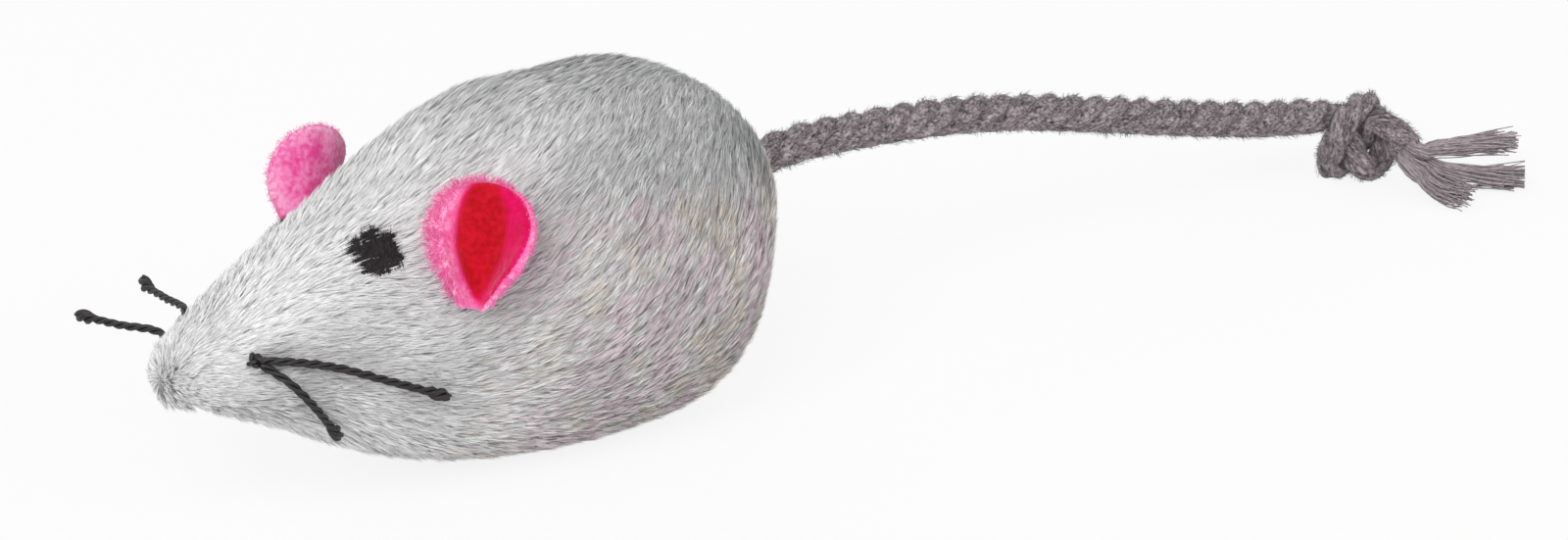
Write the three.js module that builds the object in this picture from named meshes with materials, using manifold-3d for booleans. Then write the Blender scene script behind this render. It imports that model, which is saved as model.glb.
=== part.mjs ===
// Catnip mouse: a stuffed plush body with felt ears, stitched eyes, thread whiskers and a knotted rope tail.
// Millimetres, +Z up. The nose points along -X, the tail along +X, and the mouse's left side is -Y.
// The origin lies on the table, in the middle of the flat of the belly.
import * as THREE from "three";
import { mergeVertices } from "three/addons/utils/BufferGeometryUtils.js";
import Module from "manifold-3d";

const wasm = await Module();
wasm.setup();

// Gaps between pieces that touch on the real toy, how far cutters run past what they cut, and how near
// two corners lie that count as one
const clearance = 0.3;
const overrun = 5;
const cornerTolerance = 1e-4;

// Plush body: sizes of its pile's outer surface
const bodyLength = 65.8;
const noseToOrigin = 42.8;
const bodyHalfWidth = 15.5;
const crownRise = 15.4;
const noseHeight = 13.9;
const rumpHeight = 19.1;
const bellyFlat = 0.5;
const plushWall = 1.6;
// Where each section stands along the body, and its half width, rise and drop about the core line
const stationShares = [0, 0.03, 0.09, 0.18, 0.3, 0.42, 0.55, 0.68, 0.8, 0.9, 0.955, 1];
const widthShares = [0, 0.265, 0.425, 0.54, 0.7, 0.82, 0.95, 1, 0.985, 0.6, 0.305, 0];
const riseShares = [0, 0.24, 0.34, 0.52, 0.69, 0.89, 1, 0.93, 0.835, 0.55, 0.27, 0];
const dropShares = [0, 0.05, 0.18, 0.365, 0.63, 0.82, 0.94, 1, 0.975, 0.735, 0.34, 0];
const leastRing = 0.4;

// Stuffing and the catnip that lies in the middle of it
const catnipLength = 22;
const catnipWidth = 11;
const catnipHeight = 10;
const catnipBehindNose = 38;
const catnipLift = 1;
const stuffingDuctRadius = 3;

// Belly seam thread, on the inside of the cloth
const seamThreadDiameter = 0.6;
const seamStartShare = 0.25;
const seamEndShare = 0.82;

// Tail rope, its ball shaped root in the mouth of the plush, and its retaining knot inside
const ropeDiameter = 3.4;
const mouthBehindTip = 1.3;
const innerNeckDiameter = 2.4;
const innerKnotDiameter = 5;
const innerKnotLength = 3.8;
const innerReach = 7;
// The inner knot's outline from its front: shares of its radius and of its length
const innerKnotShares = [[0.9, 0.15], [1, 0.4], [0.85, 0.75]];
const innerFlareAngle = 50;
const outerFlareAngle = 56;
const gatherThreadDiameter = 0.6;
const gatherRingRadius = 3.6;

// The rope's route from its root to the knot, chosen by hand
const ropeRoute = [
  [27, 0, 19.35],
  [34, 0, 18.85],
  [41, 0, 18.1],
  [48, 0, 16.95],
  [55, 0, 15.4],
  [62, 0, 13.5],
  [69.2, 0, 11.5],
  [76.6, 0, 9.5],
  [83.6, 0, 7.75],
  [88.9, 0, 6.7],
];

// Overhand knot: the rope draws thin inside it, and the bottom of its loop is pressed flat on the table
const knotRopeDiameter = 1.65;
const knotPlace = [94.6, -1.6];
const knotTurn = -40;
const knotLobeHalfWidth = 2.6;
const knotCrossingDepth = 1.7;
const knotTop = 1.9;
const knotLoopHeight = 6.1;
const knotTableCut = 0.2;
// Where the rope crosses in front of itself and behind: places along the loop and depths
const knotTimeShares = [-1.95, -1.68, -1.34, -0.96, -0.85, -0.36, 0, 0.36, 0.85, 0.96, 1.34, 1.68, 1.95];
const knotDepthShares = [0.37, -1.06, 0.35, 0.62, 1.25, 1.25, 0, -1.25, -1.25, -0.62, -0.35, 1.06, -0.37];
const knotExit = [
  [96.5, -4.6, 4.8],
  [96.6, -6.8, 3.4],
];

// Three frayed plies of the rope's end: routes by hand, and thickness at the root, middle and tip
const plyRootSpread = 0.95;
const lowerPlyRoute = [[96.1, -9.4, 1.75], [95.8, -11.9, 1.4], [96.4, -15, 1.25]];
const lowerPlyDiameters = [1.3, 2.3, 2.1];
const middlePlyRoute = [[98.5, -9.3, 1.7], [100.8, -11.7, 1.25], [104, -14.7, 1.2]];
const middlePlyDiameters = [1.3, 1.5, 1.8];
const upperPlyRoute = [[98.9, -8.3, 3.5], [102, -9.8, 3.6], [106.2, -11.3, 3.3]];
const upperPlyDiameters = [1.3, 1.6, 1];

// Felt ears
const earHeight = 10.8;
const earFlatWidth = 10.2;
const earBaseWidth = 2.8;
const earWidestHeight = 6;
const earThickness = 1.2;
const earBaseThickness = 0.8;
const earBaseCurl = 0.85;
const earStandOff = 1.1;
// Where each ear is tacked on, the curl of its top and how far rearward its cup lies
const leftEarBehindNose = 24.1;
const leftEarTopCurl = 7.2;
const leftEarCupOffset = 0.6;
const rightEarBehindNose = 25.6;
const rightEarTopCurl = 7;
const rightEarCupOffset = 1.6;
// Each ear's angles: its place round the body, and its turns towards the nose, upward and about its face
const leftEarAngles = { round: 16, yaw: 48, tilt: 16, roll: -6 };
const rightEarAngles = { round: 3.5, yaw: 29, tilt: 0, roll: -36 };
// Thread that tacks an ear's pinched base to the head
const earTackThread = 0.5;
const earTackHeight = 0.55;
const earTackReach = 0.95;

// Eyes, stitched in black yarn and sunk in the pile but for their yarn's crowns
const eyeDiameter = 4.7;
const eyeThickness = 0.6;
const eyeProud = 0.1;
const eyeBehindNose = 18.8;
const eyeAngles = { left: 57.5, right: 30 };
// The eye's notched outline: its radius at equal turns from the rear edge
const eyeOutlineShares = [0.74, 1, 0.98, 0.92, 0.94, 0.96, 0.98, 1, 0.96, 0.84, 1, 0.97, 0.76, 1, 0.98];

// Whisker threads: a knot at each side of the muzzle, joined through it
const whiskerThread = 0.75;
const whiskerKnotDiameter = 1.7;
const whiskerTipDiameter = 1.25;
const whiskerTipLength = 2.2;
const whiskerBehindNose = 6.4;
const whiskerAngles = { left: 33, right: 2 };
// The left whiskers lie on the pile: distances behind the nose, and angles round the body
const lyingHeight = 0.95;
const leftUpperBehindNose = [8.4, 11.9, 16.3, 21.9];
const leftUpperAngles = [23, 11, -3, -16];
const leftLowerBehindNose = [8.2, 10, 14];
const leftLowerAngles = [10, -9, -43];
// The right whiskers stand free: distances back, outward and up from their knot, chosen by hand
const rightUpperRoute = [
  [1.8, 1.4, 0.9],
  [3.4, 2.4, 1.6],
  [4.7, 7.3, 1],
  [5.6, 11.3, 0.7],
  [5.9, 12.1, 1.1],
];
const rightLowerRoute = [[0.6, 2.3, 0.5], [-0.8, 6.3, 0.3], [-1.6, 11.3, -0.15]];

// Colours
const plushGrey = 0xc9c9cb;
const fibreWhite = 0xf0efe9;
const herbGreen = 0x6f7a45;
const feltPink = 0xe8408c;
const yarnBlack = 0x1d1b1c;
const threadGrey = 0x9a9698;
const ropeGrey = 0x857c80;

// Places and directions

function vector(list) {
  return new THREE.Vector3(...list);
}

function direction(degreesRound, degreesUp) {
  const turn = THREE.MathUtils.degToRad(degreesRound);
  const up = THREE.MathUtils.degToRad(degreesUp);
  return new THREE.Vector3(Math.cos(turn) * Math.cos(up), Math.sin(turn) * Math.cos(up), Math.sin(up));
}

// Solids and booleans

function solid(geometry) {
  const bare = geometry.clone();
  bare.deleteAttribute("normal");
  bare.deleteAttribute("uv");
  const merged = mergeVertices(bare, cornerTolerance);
  return new wasm.Manifold(
    new wasm.Mesh({
      numProp: 3,
      vertProperties: merged.attributes.position.array,
      triVerts: new Uint32Array(merged.index.array),
    }),
  );
}

function geometryOf(made) {
  const mesh = made.getMesh();
  const geometry = new THREE.BufferGeometry();
  geometry.setAttribute("position", new THREE.BufferAttribute(mesh.vertProperties, 3));
  geometry.setIndex(new THREE.BufferAttribute(mesh.triVerts, 1));
  geometry.computeVertexNormals();
  return geometry;
}

// A closed skin over rings of equal count, from a tip before the first ring to one after the last
function loft(rings, firstTip, lastTip) {
  const around = rings[0].length;
  const points = [firstTip, ...rings.flat(), lastTip];
  const faces = [];
  const place = (ring, step) => 1 + ring * around + (step % around);
  for (let step = 0; step < around; step++) {
    faces.push(0, place(0, step + 1), place(0, step));
    faces.push(points.length - 1, place(rings.length - 1, step), place(rings.length - 1, step + 1));
    for (let ring = 0; ring + 1 < rings.length; ring++) {
      faces.push(place(ring, step), place(ring, step + 1), place(ring + 1, step));
      faces.push(place(ring, step + 1), place(ring + 1, step + 1), place(ring + 1, step));
    }
  }
  const geometry = new THREE.BufferGeometry().setFromPoints(points);
  geometry.setIndex(faces);
  geometry.computeVertexNormals();
  return geometry;
}

// A round tube whose radius changes along its curve
function taperedTube(curve, radiusAt, sides, steps) {
  const frames = curve.computeFrenetFrames(steps, false);
  const rings = curve.getSpacedPoints(steps).map((centre, step) =>
    Array.from({ length: sides }, (_, side) => {
      const turn = (2 * Math.PI * side) / sides;
      const radius = radiusAt(step / steps);
      return centre
        .clone()
        .addScaledVector(frames.normals[step], radius * Math.cos(turn))
        .addScaledVector(frames.binormals[step], radius * Math.sin(turn));
    }),
  );
  return loft(rings, curve.getPointAt(0), curve.getPointAt(1));
}

// A round tube of one diameter
function plainTube(curve, diameter, sides, steps) {
  const circle = new THREE.EllipseCurve(0, 0, diameter / 2, diameter / 2);
  const outline = new THREE.Shape(circle.getPoints(sides).slice(0, -1));
  return new THREE.ExtrudeGeometry(outline, {
    steps,
    extrudePath: curve,
    curveSegments: 1,
    bevelEnabled: false,
  });
}

function curveThrough(points) {
  return new THREE.CatmullRomCurve3(points, false, "centripetal");
}

// Everything under the table top, to cut flats with
function underTable() {
  const block = new THREE.BoxGeometry(4 * bodyLength, 4 * bodyLength, 2 * bodyLength);
  block.translate(0, 0, -bodyLength);
  return solid(block);
}

// The body's surface

const noseTip = -noseToOrigin;
const bellyShare = stationShares[dropShares.indexOf(Math.max(...dropShares))];
const bellyDrop = THREE.MathUtils.lerp(noseHeight, rumpHeight, bellyShare) + bellyFlat;
const coreLine = new THREE.SplineCurve(
  stationShares.map((share) => {
    const height = THREE.MathUtils.lerp(noseHeight, rumpHeight, share);
    return new THREE.Vector2(noseTip + share * bodyLength, height);
  }),
);
const halfSizes = new THREE.CatmullRomCurve3(
  stationShares.map((_, i) => {
    const width = widthShares[i] * bodyHalfWidth;
    const rise = riseShares[i] * crownRise;
    return new THREE.Vector3(width, rise, dropShares[i] * bellyDrop);
  }),
  false,
  "catmullrom",
);

// The share of the way, either side of a place, over which the surface's slope is measured there
const slopeSpan = 0.01;

// A section at a share of the way along the two curves, moved out along the surface's own slope
function section(way, outward) {
  const core = coreLine.getPoint(way);
  const sizes = halfSizes.getPoint(way);
  const before = Math.max(way - slopeSpan, 0);
  const after = Math.min(way + slopeSpan, 1);
  const run = coreLine.getPoint(after).x - coreLine.getPoint(before).x;
  const first = halfSizes.getPoint(before);
  const last = halfSizes.getPoint(after);
  const slope = (last.x + last.y + last.z - first.x - first.y - first.z) / 3 / run;
  const normal = new THREE.Vector2(-slope, 1).normalize();
  return {
    x: core.x + outward * normal.x,
    z: core.y,
    width: sizes.x + outward * normal.y,
    rise: sizes.y + outward * normal.y,
    drop: sizes.z + outward * normal.y,
  };
}

function pointRound(at, degrees) {
  const turn = THREE.MathUtils.degToRad(degrees);
  const upright = Math.sin(turn) > 0 ? at.rise : at.drop;
  return new THREE.Vector3(at.x, -at.width * Math.cos(turn), at.z + upright * Math.sin(turn));
}

// The body's whole form, grown outward or shrunk, with the rings that would be too small left to the tips
function bodyForm(outward, ringCount, around) {
  const deepest = outward < 0 ? -plushWall - clearance : 0;
  const rings = [];
  for (let ring = 1; ring < ringCount; ring++) {
    const least = section(ring / ringCount, deepest);
    const at = section(ring / ringCount, outward);
    if (Math.min(least.width, least.rise, least.drop) > leastRing)
      rings.push(Array.from({ length: around }, (_, step) => pointRound(at, (-360 * step) / around)));
  }
  const nose = new THREE.Vector3(noseTip - outward, 0, noseHeight);
  const rump = new THREE.Vector3(noseTip + bodyLength + outward, 0, rumpHeight);
  return solid(loft(rings, nose, rump));
}

// The way along the body whose section stands a given distance behind the nose
function wayBehindNose(distance) {
  let low = 0;
  let high = 1;
  for (let i = 0; i < 40; i++) {
    const middle = (low + high) / 2;
    if (coreLine.getPoint(middle).x < noseTip + distance) low = middle;
    else high = middle;
  }
  return low;
}

// A place over the left side's pile, by angle up from the side, and the way out of the pile there
function overPile(behindNose, degrees, height) {
  const way = wayBehindNose(behindNose);
  const at = section(way, 0);
  const here = pointRound(at, degrees);
  const ahead = pointRound(section(way + slopeSpan, 0), degrees);
  const along = ahead.sub(pointRound(section(way - slopeSpan, 0), degrees));
  const round = pointRound(at, degrees + 1).sub(pointRound(at, degrees - 1));
  const out = new THREE.Vector3().crossVectors(along, round).normalize();
  return { point: here.addScaledVector(out, height), out };
}

const outerRingCount = 36;
const innerRingCount = 22;
const outerSideCount = 28;
const innerSideCount = 20;
const bodyOuter = bodyForm(0, outerRingCount, outerSideCount);
const bodyWithRoom = bodyForm(clearance, outerRingCount, outerSideCount);

// Tail: places that the plush and the stuffing are cut from

const ropeRadius = ropeDiameter / 2;
const tailPivot = new THREE.Vector3(noseTip + bodyLength - mouthBehindTip, 0, rumpHeight);
const neckFront = ropeRadius + clearance;

// A form turned about the rope's axis, with distances measured inward from the pivot
function turnedAboutTail(profile, sides) {
  const lathe = new THREE.LatheGeometry(
    profile.map(([radius, inward]) => new THREE.Vector2(radius, inward)),
    sides,
  );
  lathe.rotateZ(Math.PI / 2);
  lathe.translate(tailPivot.x, tailPivot.y, tailPivot.z);
  return lathe;
}

// The mouth of the plush: tight round the rope's root, and flared both ways where the tail swings
function tailMouth() {
  const innerFlare = Math.tan(THREE.MathUtils.degToRad(innerFlareAngle));
  const outerFlare = Math.tan(THREE.MathUtils.degToRad(outerFlareAngle));
  const mouth = ropeRadius + clearance;
  return solid(
    turnedAboutTail(
      [
        [0, clearance - overrun],
        [mouth + outerFlare * overrun, clearance - overrun],
        [mouth, clearance],
        [mouth + innerFlare * innerReach, clearance + innerReach],
        [0, clearance + innerReach],
      ],
      24,
    ),
  );
}

// The hollow in which the inner knot swings, and the duct on to the catnip
function innerHollow() {
  const ball = new THREE.SphereGeometry(innerReach + clearance, 20, 14);
  ball.translate(tailPivot.x, tailPivot.y, tailPivot.z);
  const catnipEnd = noseTip + catnipBehindNose;
  const ductLength = tailPivot.x - catnipEnd;
  const duct = new THREE.CylinderGeometry(stuffingDuctRadius, stuffingDuctRadius, ductLength, 16);
  duct.rotateZ(Math.PI / 2);
  duct.translate((tailPivot.x + catnipEnd) / 2, 0, rumpHeight - catnipLift);
  return solid(ball).add(solid(duct));
}

// Catnip

function catnipForm(room) {
  const heap = new THREE.SphereGeometry(1, 20, 12);
  heap.scale(catnipLength / 2 + room, catnipWidth / 2 + room, catnipHeight / 2 + room);
  const way = wayBehindNose(catnipBehindNose);
  heap.translate(noseTip + catnipBehindNose, 0, coreLine.getPoint(way).y + catnipLift);
  return heap;
}

// Whisker knots, sunk in the pile, and the thread that joins them through the muzzle

const whiskerRoots = {
  left: overPile(whiskerBehindNose, whiskerAngles.left, 0).point,
  right: overPile(whiskerBehindNose, whiskerAngles.right, 0).point,
};

function knotBall(side, room) {
  const ball = new THREE.SphereGeometry(whiskerKnotDiameter / 2 + room, 12, 8);
  const { x, y, z } = whiskerRoots[side];
  ball.translate(x, y, z);
  return ball;
}

function crossThread(diameter, inset) {
  const left = whiskerRoots.left.clone();
  const right = whiskerRoots.right.clone().multiply(new THREE.Vector3(1, -1, 1));
  const run = right.clone().sub(left).normalize();
  const curve = new THREE.LineCurve3(left.addScaledVector(run, inset), right.addScaledVector(run, -inset));
  return plainTube(curve, diameter, 8, 1);
}

function whiskerRoom() {
  const rightDimple = solid(knotBall("right", clearance)).mirror([0, 1, 0]);
  return solid(crossThread(whiskerThread + 2 * clearance, 0))
    .add(solid(knotBall("left", clearance)))
    .add(rightDimple);
}

// Belly seam thread: a curve just inside the cloth

function bellySeam(diameter) {
  const depth = plushWall + clearance + seamThreadDiameter / 2;
  const points = [];
  for (let step = 0; step <= 8; step++) {
    const share = seamStartShare + ((seamEndShare - seamStartShare) * step) / 8;
    points.push(pointRound(section(wayBehindNose(share * bodyLength), -depth), -90));
  }
  return plainTube(curveThrough(points), diameter, 8, 16);
}

// Pieces

function plushBody() {
  return geometryOf(
    bodyOuter
      .subtract(bodyForm(-plushWall, innerRingCount, innerSideCount))
      .subtract(tailMouth())
      .subtract(whiskerRoom())
      .subtract(eyeSeat("left"))
      .subtract(eyeSeat("right").mirror([0, 1, 0]))
      .subtract(underTable()),
  );
}

function stuffing() {
  return geometryOf(
    bodyForm(-plushWall - clearance, innerRingCount, innerSideCount)
      .subtract(solid(catnipForm(clearance)))
      .subtract(innerHollow())
      .subtract(solid(bellySeam(seamThreadDiameter + 2 * clearance)))
      .subtract(whiskerRoom()),
  );
}

function innerKnot() {
  const neck = innerNeckDiameter / 2;
  const knotFront = innerReach - innerKnotLength;
  const swell = innerKnotShares.map(([radiusShare, lengthShare]) => [
    (radiusShare * innerKnotDiameter) / 2,
    knotFront + lengthShare * innerKnotLength,
  ]);
  return turnedAboutTail(
    [[0, neckFront], [neck, neckFront], [neck, knotFront], ...swell, [neck, innerReach], [0, innerReach]],
    16,
  );
}

const ropeCurve = curveThrough([tailPivot, ...ropeRoute.map(vector)]);

function tailRope() {
  const root = new THREE.SphereGeometry(ropeRadius, 16, 10);
  root.translate(tailPivot.x, tailPivot.y, tailPivot.z);
  return geometryOf(solid(plainTube(ropeCurve, ropeDiameter, 8, 16)).add(solid(root)));
}

// The overhand knot's curve: a pretzel of two lobes that hang under one bight
function knotCurve() {
  const start = ropeCurve.getPoint(1).addScaledVector(ropeCurve.getTangent(1), clearance);
  const lead = start.clone().addScaledVector(ropeCurve.getTangent(1), ropeRadius);
  const middleHeight = knotLoopHeight - knotTop + knotRopeDiameter / 2 - knotTableCut;
  const middle = vector([...knotPlace, middleHeight]);
  const loop = knotTimeShares.map((time, i) =>
    new THREE.Vector3(
      (knotLobeHalfWidth * (time ** 3 - 3 * time)) / 2,
      knotCrossingDepth * knotDepthShares[i],
      knotTop + (knotLoopHeight * (time ** 4 - 4 * time ** 2)) / 4,
    )
      .applyAxisAngle(new THREE.Vector3(0, 0, 1), THREE.MathUtils.degToRad(knotTurn))
      .add(middle),
  );
  return curveThrough([start, lead, ...loop, ...knotExit.map(vector)]);
}

const knotPath = knotCurve();
const knotLength = knotPath.getLength();

function knotRadius(share) {
  const fromEnd = Math.min(share, 1 - share) * knotLength;
  const drawn = THREE.MathUtils.smoothstep(fromEnd, 0, ropeDiameter);
  return THREE.MathUtils.lerp(ropeRadius, knotRopeDiameter / 2, drawn);
}

// How far the knot's rope stays from itself, measured between points more than two diameters apart along it
function leastGap(steps) {
  const points = knotPath.getSpacedPoints(steps);
  const apart = Math.ceil((2 * knotRopeDiameter * steps) / knotLength);
  let least = Infinity;
  for (let i = 0; i <= steps; i++)
    for (let j = i + apart; j <= steps; j++) {
      const between = points[i].distanceTo(points[j]);
      least = Math.min(least, between - knotRadius(i / steps) - knotRadius(j / steps));
    }
  return least;
}
console.log("The knot's rope stays " + leastGap(240).toFixed(2) + " mm from itself");

function tailKnot() {
  return geometryOf(solid(taperedTube(knotPath, knotRadius, 8, 52)).subtract(underTable()));
}

function tailStrand(index, route, diameters) {
  const end = knotPath.getPoint(1);
  const forward = knotPath.getTangent(1);
  const side = new THREE.Vector3().crossVectors(forward, new THREE.Vector3(0, 0, 1)).normalize();
  const up = new THREE.Vector3().crossVectors(side, forward);
  const turn = THREE.MathUtils.degToRad(210 + 120 * index);
  const root = end
    .clone()
    .addScaledVector(forward, clearance)
    .addScaledVector(side, -plyRootSpread * Math.cos(turn))
    .addScaledVector(up, plyRootSpread * Math.sin(turn));
  const lead = root.clone().addScaledVector(forward, diameters[0] / 2);
  const curve = curveThrough([root, lead, ...route.map(vector)]);
  const [atRoot, atMiddle, atTip] = diameters.map((diameter) => diameter / 2);
  const radiusAt = (share) =>
    share < 0.5
      ? THREE.MathUtils.lerp(atRoot, atMiddle, THREE.MathUtils.smoothstep(share, 0, 0.5))
      : THREE.MathUtils.lerp(atMiddle, atTip, THREE.MathUtils.smoothstep(share, 0.5, 1));
  return geometryOf(solid(taperedTube(curve, radiusAt, 8, 12)).subtract(underTable()));
}

// A ring of thread that gathers the plush round the rope
function gatherThread() {
  const ring = new THREE.TorusGeometry(gatherRingRadius, gatherThreadDiameter / 2, 6, 20);
  ring.rotateY(Math.PI / 2);
  const lift = clearance + gatherThreadDiameter / 2;
  let way = 1;
  while (section(way, lift).width < gatherRingRadius) way -= 0.001;
  ring.translate(section(way, lift).x, 0, rumpHeight);
  return geometryOf(solid(ring).subtract(bodyWithRoom));
}

// Ears: flat felt, rolled more tightly towards its pinched base

function earOutline() {
  const halfWidth = earFlatWidth / 2;
  const topHeight = earHeight - earWidestHeight;
  const outline = new THREE.Shape();
  outline.moveTo(earBaseWidth / 2, 0);
  outline.absellipse(0, earWidestHeight, halfWidth, topHeight, -0.2 * Math.PI, 1.2 * Math.PI, false);
  outline.lineTo(-earBaseWidth / 2, 0);
  outline.closePath();
  return outline.getSpacedPoints(36).slice(0, -1);
}

const earPoses = {
  left: {
    behindNose: leftEarBehindNose,
    topCurl: leftEarTopCurl,
    cupOffset: leftEarCupOffset,
    ...leftEarAngles,
  },
  right: {
    behindNose: rightEarBehindNose,
    topCurl: rightEarTopCurl,
    cupOffset: rightEarCupOffset,
    ...rightEarAngles,
  },
};

// A point of the rolled felt: its place across and up the flat felt, and how far in front of its middle
function rolledFelt(pose, across, up, through) {
  const share = up / earHeight;
  const curl = THREE.MathUtils.lerp(earBaseCurl, pose.topCurl, share);
  const offset = pose.cupOffset * share;
  const turn = (across - offset) / curl;
  const radius = curl - through;
  return new THREE.Vector3(offset + radius * Math.sin(turn), up, curl - radius * Math.cos(turn));
}

// Half the felt's thickness, which the stitches press thinner at the base
function halfFelt(up) {
  return THREE.MathUtils.lerp(earBaseThickness, earThickness, Math.min((3 * up) / earHeight, 1)) / 2;
}

// The ear's own frame: across towards the rear, up its height, and out of its cup
function earFrame(pose) {
  const root = overPile(pose.behindNose, pose.round, earStandOff).point;
  const out = direction(-90 - pose.yaw, pose.tilt);
  const up = direction(90 - pose.yaw, 90 - pose.tilt);
  const across = new THREE.Vector3().crossVectors(up, out);
  const frame = new THREE.Matrix4().makeBasis(across, up, out);
  frame.multiply(new THREE.Matrix4().makeRotationZ(THREE.MathUtils.degToRad(pose.roll)));
  return frame.setPosition(root);
}

function ear(pose) {
  const outline = earOutline();
  const middle = new THREE.Vector2(0, earWidestHeight);
  const ringShares = [0.25, 0.5, 0.75, 1];
  const place = (flat, side) => rolledFelt(pose, flat.x, flat.y, side * halfFelt(flat.y));
  const ring = (share, side) => outline.map((edge) => place(middle.clone().lerp(edge, share), side));
  const face = (side) => ringShares.map((share) => ring(share, side));
  const felt = loft([...face(-1), ...face(1).reverse()], place(middle, -1), place(middle, 1));
  felt.applyMatrix4(earFrame(pose));
  return geometryOf(solid(felt).subtract(bodyWithRoom));
}

// A stitch across the back of the pinched base, shaped to the felt at the thread's upper edge
function earTack(pose) {
  const upperEdge = earTackHeight + earTackThread / 2;
  const behind = -halfFelt(upperEdge) - clearance - earTackThread / 2;
  const points = [];
  for (let step = -4; step <= 4; step++)
    points.push(rolledFelt(pose, (earTackReach * step) / 4, upperEdge, behind).setY(earTackHeight));
  const thread = plainTube(curveThrough(points), earTackThread, 6, 16);
  thread.applyMatrix4(earFrame(pose));
  return geometryOf(solid(thread).subtract(bodyWithRoom));
}

// An eye's notched outline as a plug through the pile, with room round it
function eyePlug(side, room) {
  const { point, out } = overPile(eyeBehindNose, eyeAngles[side], 0);
  const outline = eyeOutlineShares.map((share, i) => {
    const turn = (2 * Math.PI * i) / eyeOutlineShares.length;
    const radius = (share * eyeDiameter) / 2 + room;
    return new THREE.Vector2(Math.cos(turn), Math.sin(turn)).multiplyScalar(radius);
  });
  const depth = eyeDiameter;
  const plug = new THREE.ExtrudeGeometry(new THREE.Shape(outline), { depth, bevelEnabled: false });
  plug.translate(0, 0, -depth / 2);
  const rearward = new THREE.Vector3(1, 0, 0).addScaledVector(out, -out.x).normalize();
  const upward = new THREE.Vector3().crossVectors(out, rearward);
  plug.applyMatrix4(new THREE.Matrix4().makeBasis(rearward, upward, out).setPosition(point));
  return solid(plug);
}

// An eye: a patch of yarn that follows the pile, and the seat that it presses into the pile
function eye(side) {
  const over = bodyForm(eyeProud, outerRingCount, outerSideCount);
  const under = bodyForm(eyeProud - eyeThickness, outerRingCount, outerSideCount);
  return geometryOf(eyePlug(side, 0).intersect(over).subtract(under));
}

function eyeSeat(side) {
  const depth = eyeThickness - eyeProud + clearance;
  return eyePlug(side, clearance).subtract(bodyForm(-depth, outerRingCount, outerSideCount));
}

// Whiskers

function whisker(root, points) {
  const toward = points[0].clone().sub(root).normalize();
  const start = root.clone().addScaledVector(toward, whiskerKnotDiameter / 2 + clearance);
  const curve = curveThrough([start, ...points]);
  const length = curve.getLength();
  const radiusAt = (share) => {
    const left = (1 - share) * length;
    const swell = 1 - Math.min(Math.abs(left - whiskerTipLength / 2) / (whiskerTipLength / 2), 1) ** 2;
    return (whiskerThread + (whiskerTipDiameter - whiskerThread) * swell) / 2;
  };
  return geometryOf(solid(taperedTube(curve, radiusAt, 8, 20)).subtract(bodyWithRoom));
}

function lyingWhisker(behindNose, angles) {
  return whisker(
    whiskerRoots.left,
    behindNose.map((distance, i) => overPile(distance, angles[i], lyingHeight).point),
  );
}

// Drawn on the left as the rest of the head is, and turned over to the right side with it
function freeWhisker(route) {
  const root = whiskerRoots.right;
  return whisker(
    root,
    route.map(([back, out, up]) => new THREE.Vector3(back, -out, up).add(root)),
  );
}

// Scene graph

const mouse = new THREE.Group();
const leftSide = new THREE.Group();
const rightSide = new THREE.Group();
rightSide.scale.y = -1;
const tail = new THREE.Group();
mouse.add(leftSide, rightSide, tail);

function piece(name, geometry, colour, roughness, group) {
  const material = new THREE.MeshStandardMaterial({ color: colour, roughness, metalness: 0 });
  const mesh = new THREE.Mesh(geometry, material);
  mesh.name = name;
  group.add(mesh);
}

piece("plush_body", plushBody(), plushGrey, 0.95, mouse);
piece("stuffing", stuffing(), fibreWhite, 1, mouse);
piece("catnip_fill", catnipForm(0), herbGreen, 1, mouse);
piece("belly_seam_thread", bellySeam(seamThreadDiameter), threadGrey, 0.8, mouse);
piece("rump_gather_thread", gatherThread(), threadGrey, 0.8, mouse);
piece(
  "whisker_cross_thread",
  crossThread(whiskerThread, whiskerKnotDiameter / 2 + clearance),
  yarnBlack,
  0.6,
  mouse,
);
for (const [side, group] of [["left", leftSide], ["right", rightSide]]) {
  piece("ear_" + side, ear(earPoses[side]), feltPink, 0.95, group);
  piece("ear_tack_" + side, earTack(earPoses[side]), feltPink, 0.8, group);
  piece("eye_" + side, eye(side), yarnBlack, 0.9, group);
  piece("whisker_knot_" + side, knotBall(side, 0), yarnBlack, 0.6, group);
}
for (const [name, geometry, group] of [
  ["whisker_left_upper", lyingWhisker(leftUpperBehindNose, leftUpperAngles), leftSide],
  ["whisker_left_lower", lyingWhisker(leftLowerBehindNose, leftLowerAngles), leftSide],
  ["whisker_right_upper", freeWhisker(rightUpperRoute), rightSide],
  ["whisker_right_lower", freeWhisker(rightLowerRoute), rightSide],
])
  piece(name, geometry, yarnBlack, 0.6, group);
piece("tail_inner_knot", innerKnot(), ropeGrey, 0.9, tail);
piece("tail_rope", tailRope(), ropeGrey, 0.9, tail);
piece("tail_knot", tailKnot(), ropeGrey, 0.9, tail);
piece("tail_strand_lower", tailStrand(0, lowerPlyRoute, lowerPlyDiameters), ropeGrey, 0.9, tail);
piece("tail_strand_middle", tailStrand(1, middlePlyRoute, middlePlyDiameters), ropeGrey, 0.9, tail);
piece("tail_strand_upper", tailStrand(2, upperPlyRoute, upperPlyDiameters), ropeGrey, 0.9, tail);

export default mouse;
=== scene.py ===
# Catnip mouse: plush body with felt ears, stitched eyes, thread whiskers and a knotted rope tail.
# Metres, +Z up. The nose points along -X, the tail along +X, and the mouse's left side is -Y.
import math

import bpy
import numpy as np
from mathutils import Matrix, Vector


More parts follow.
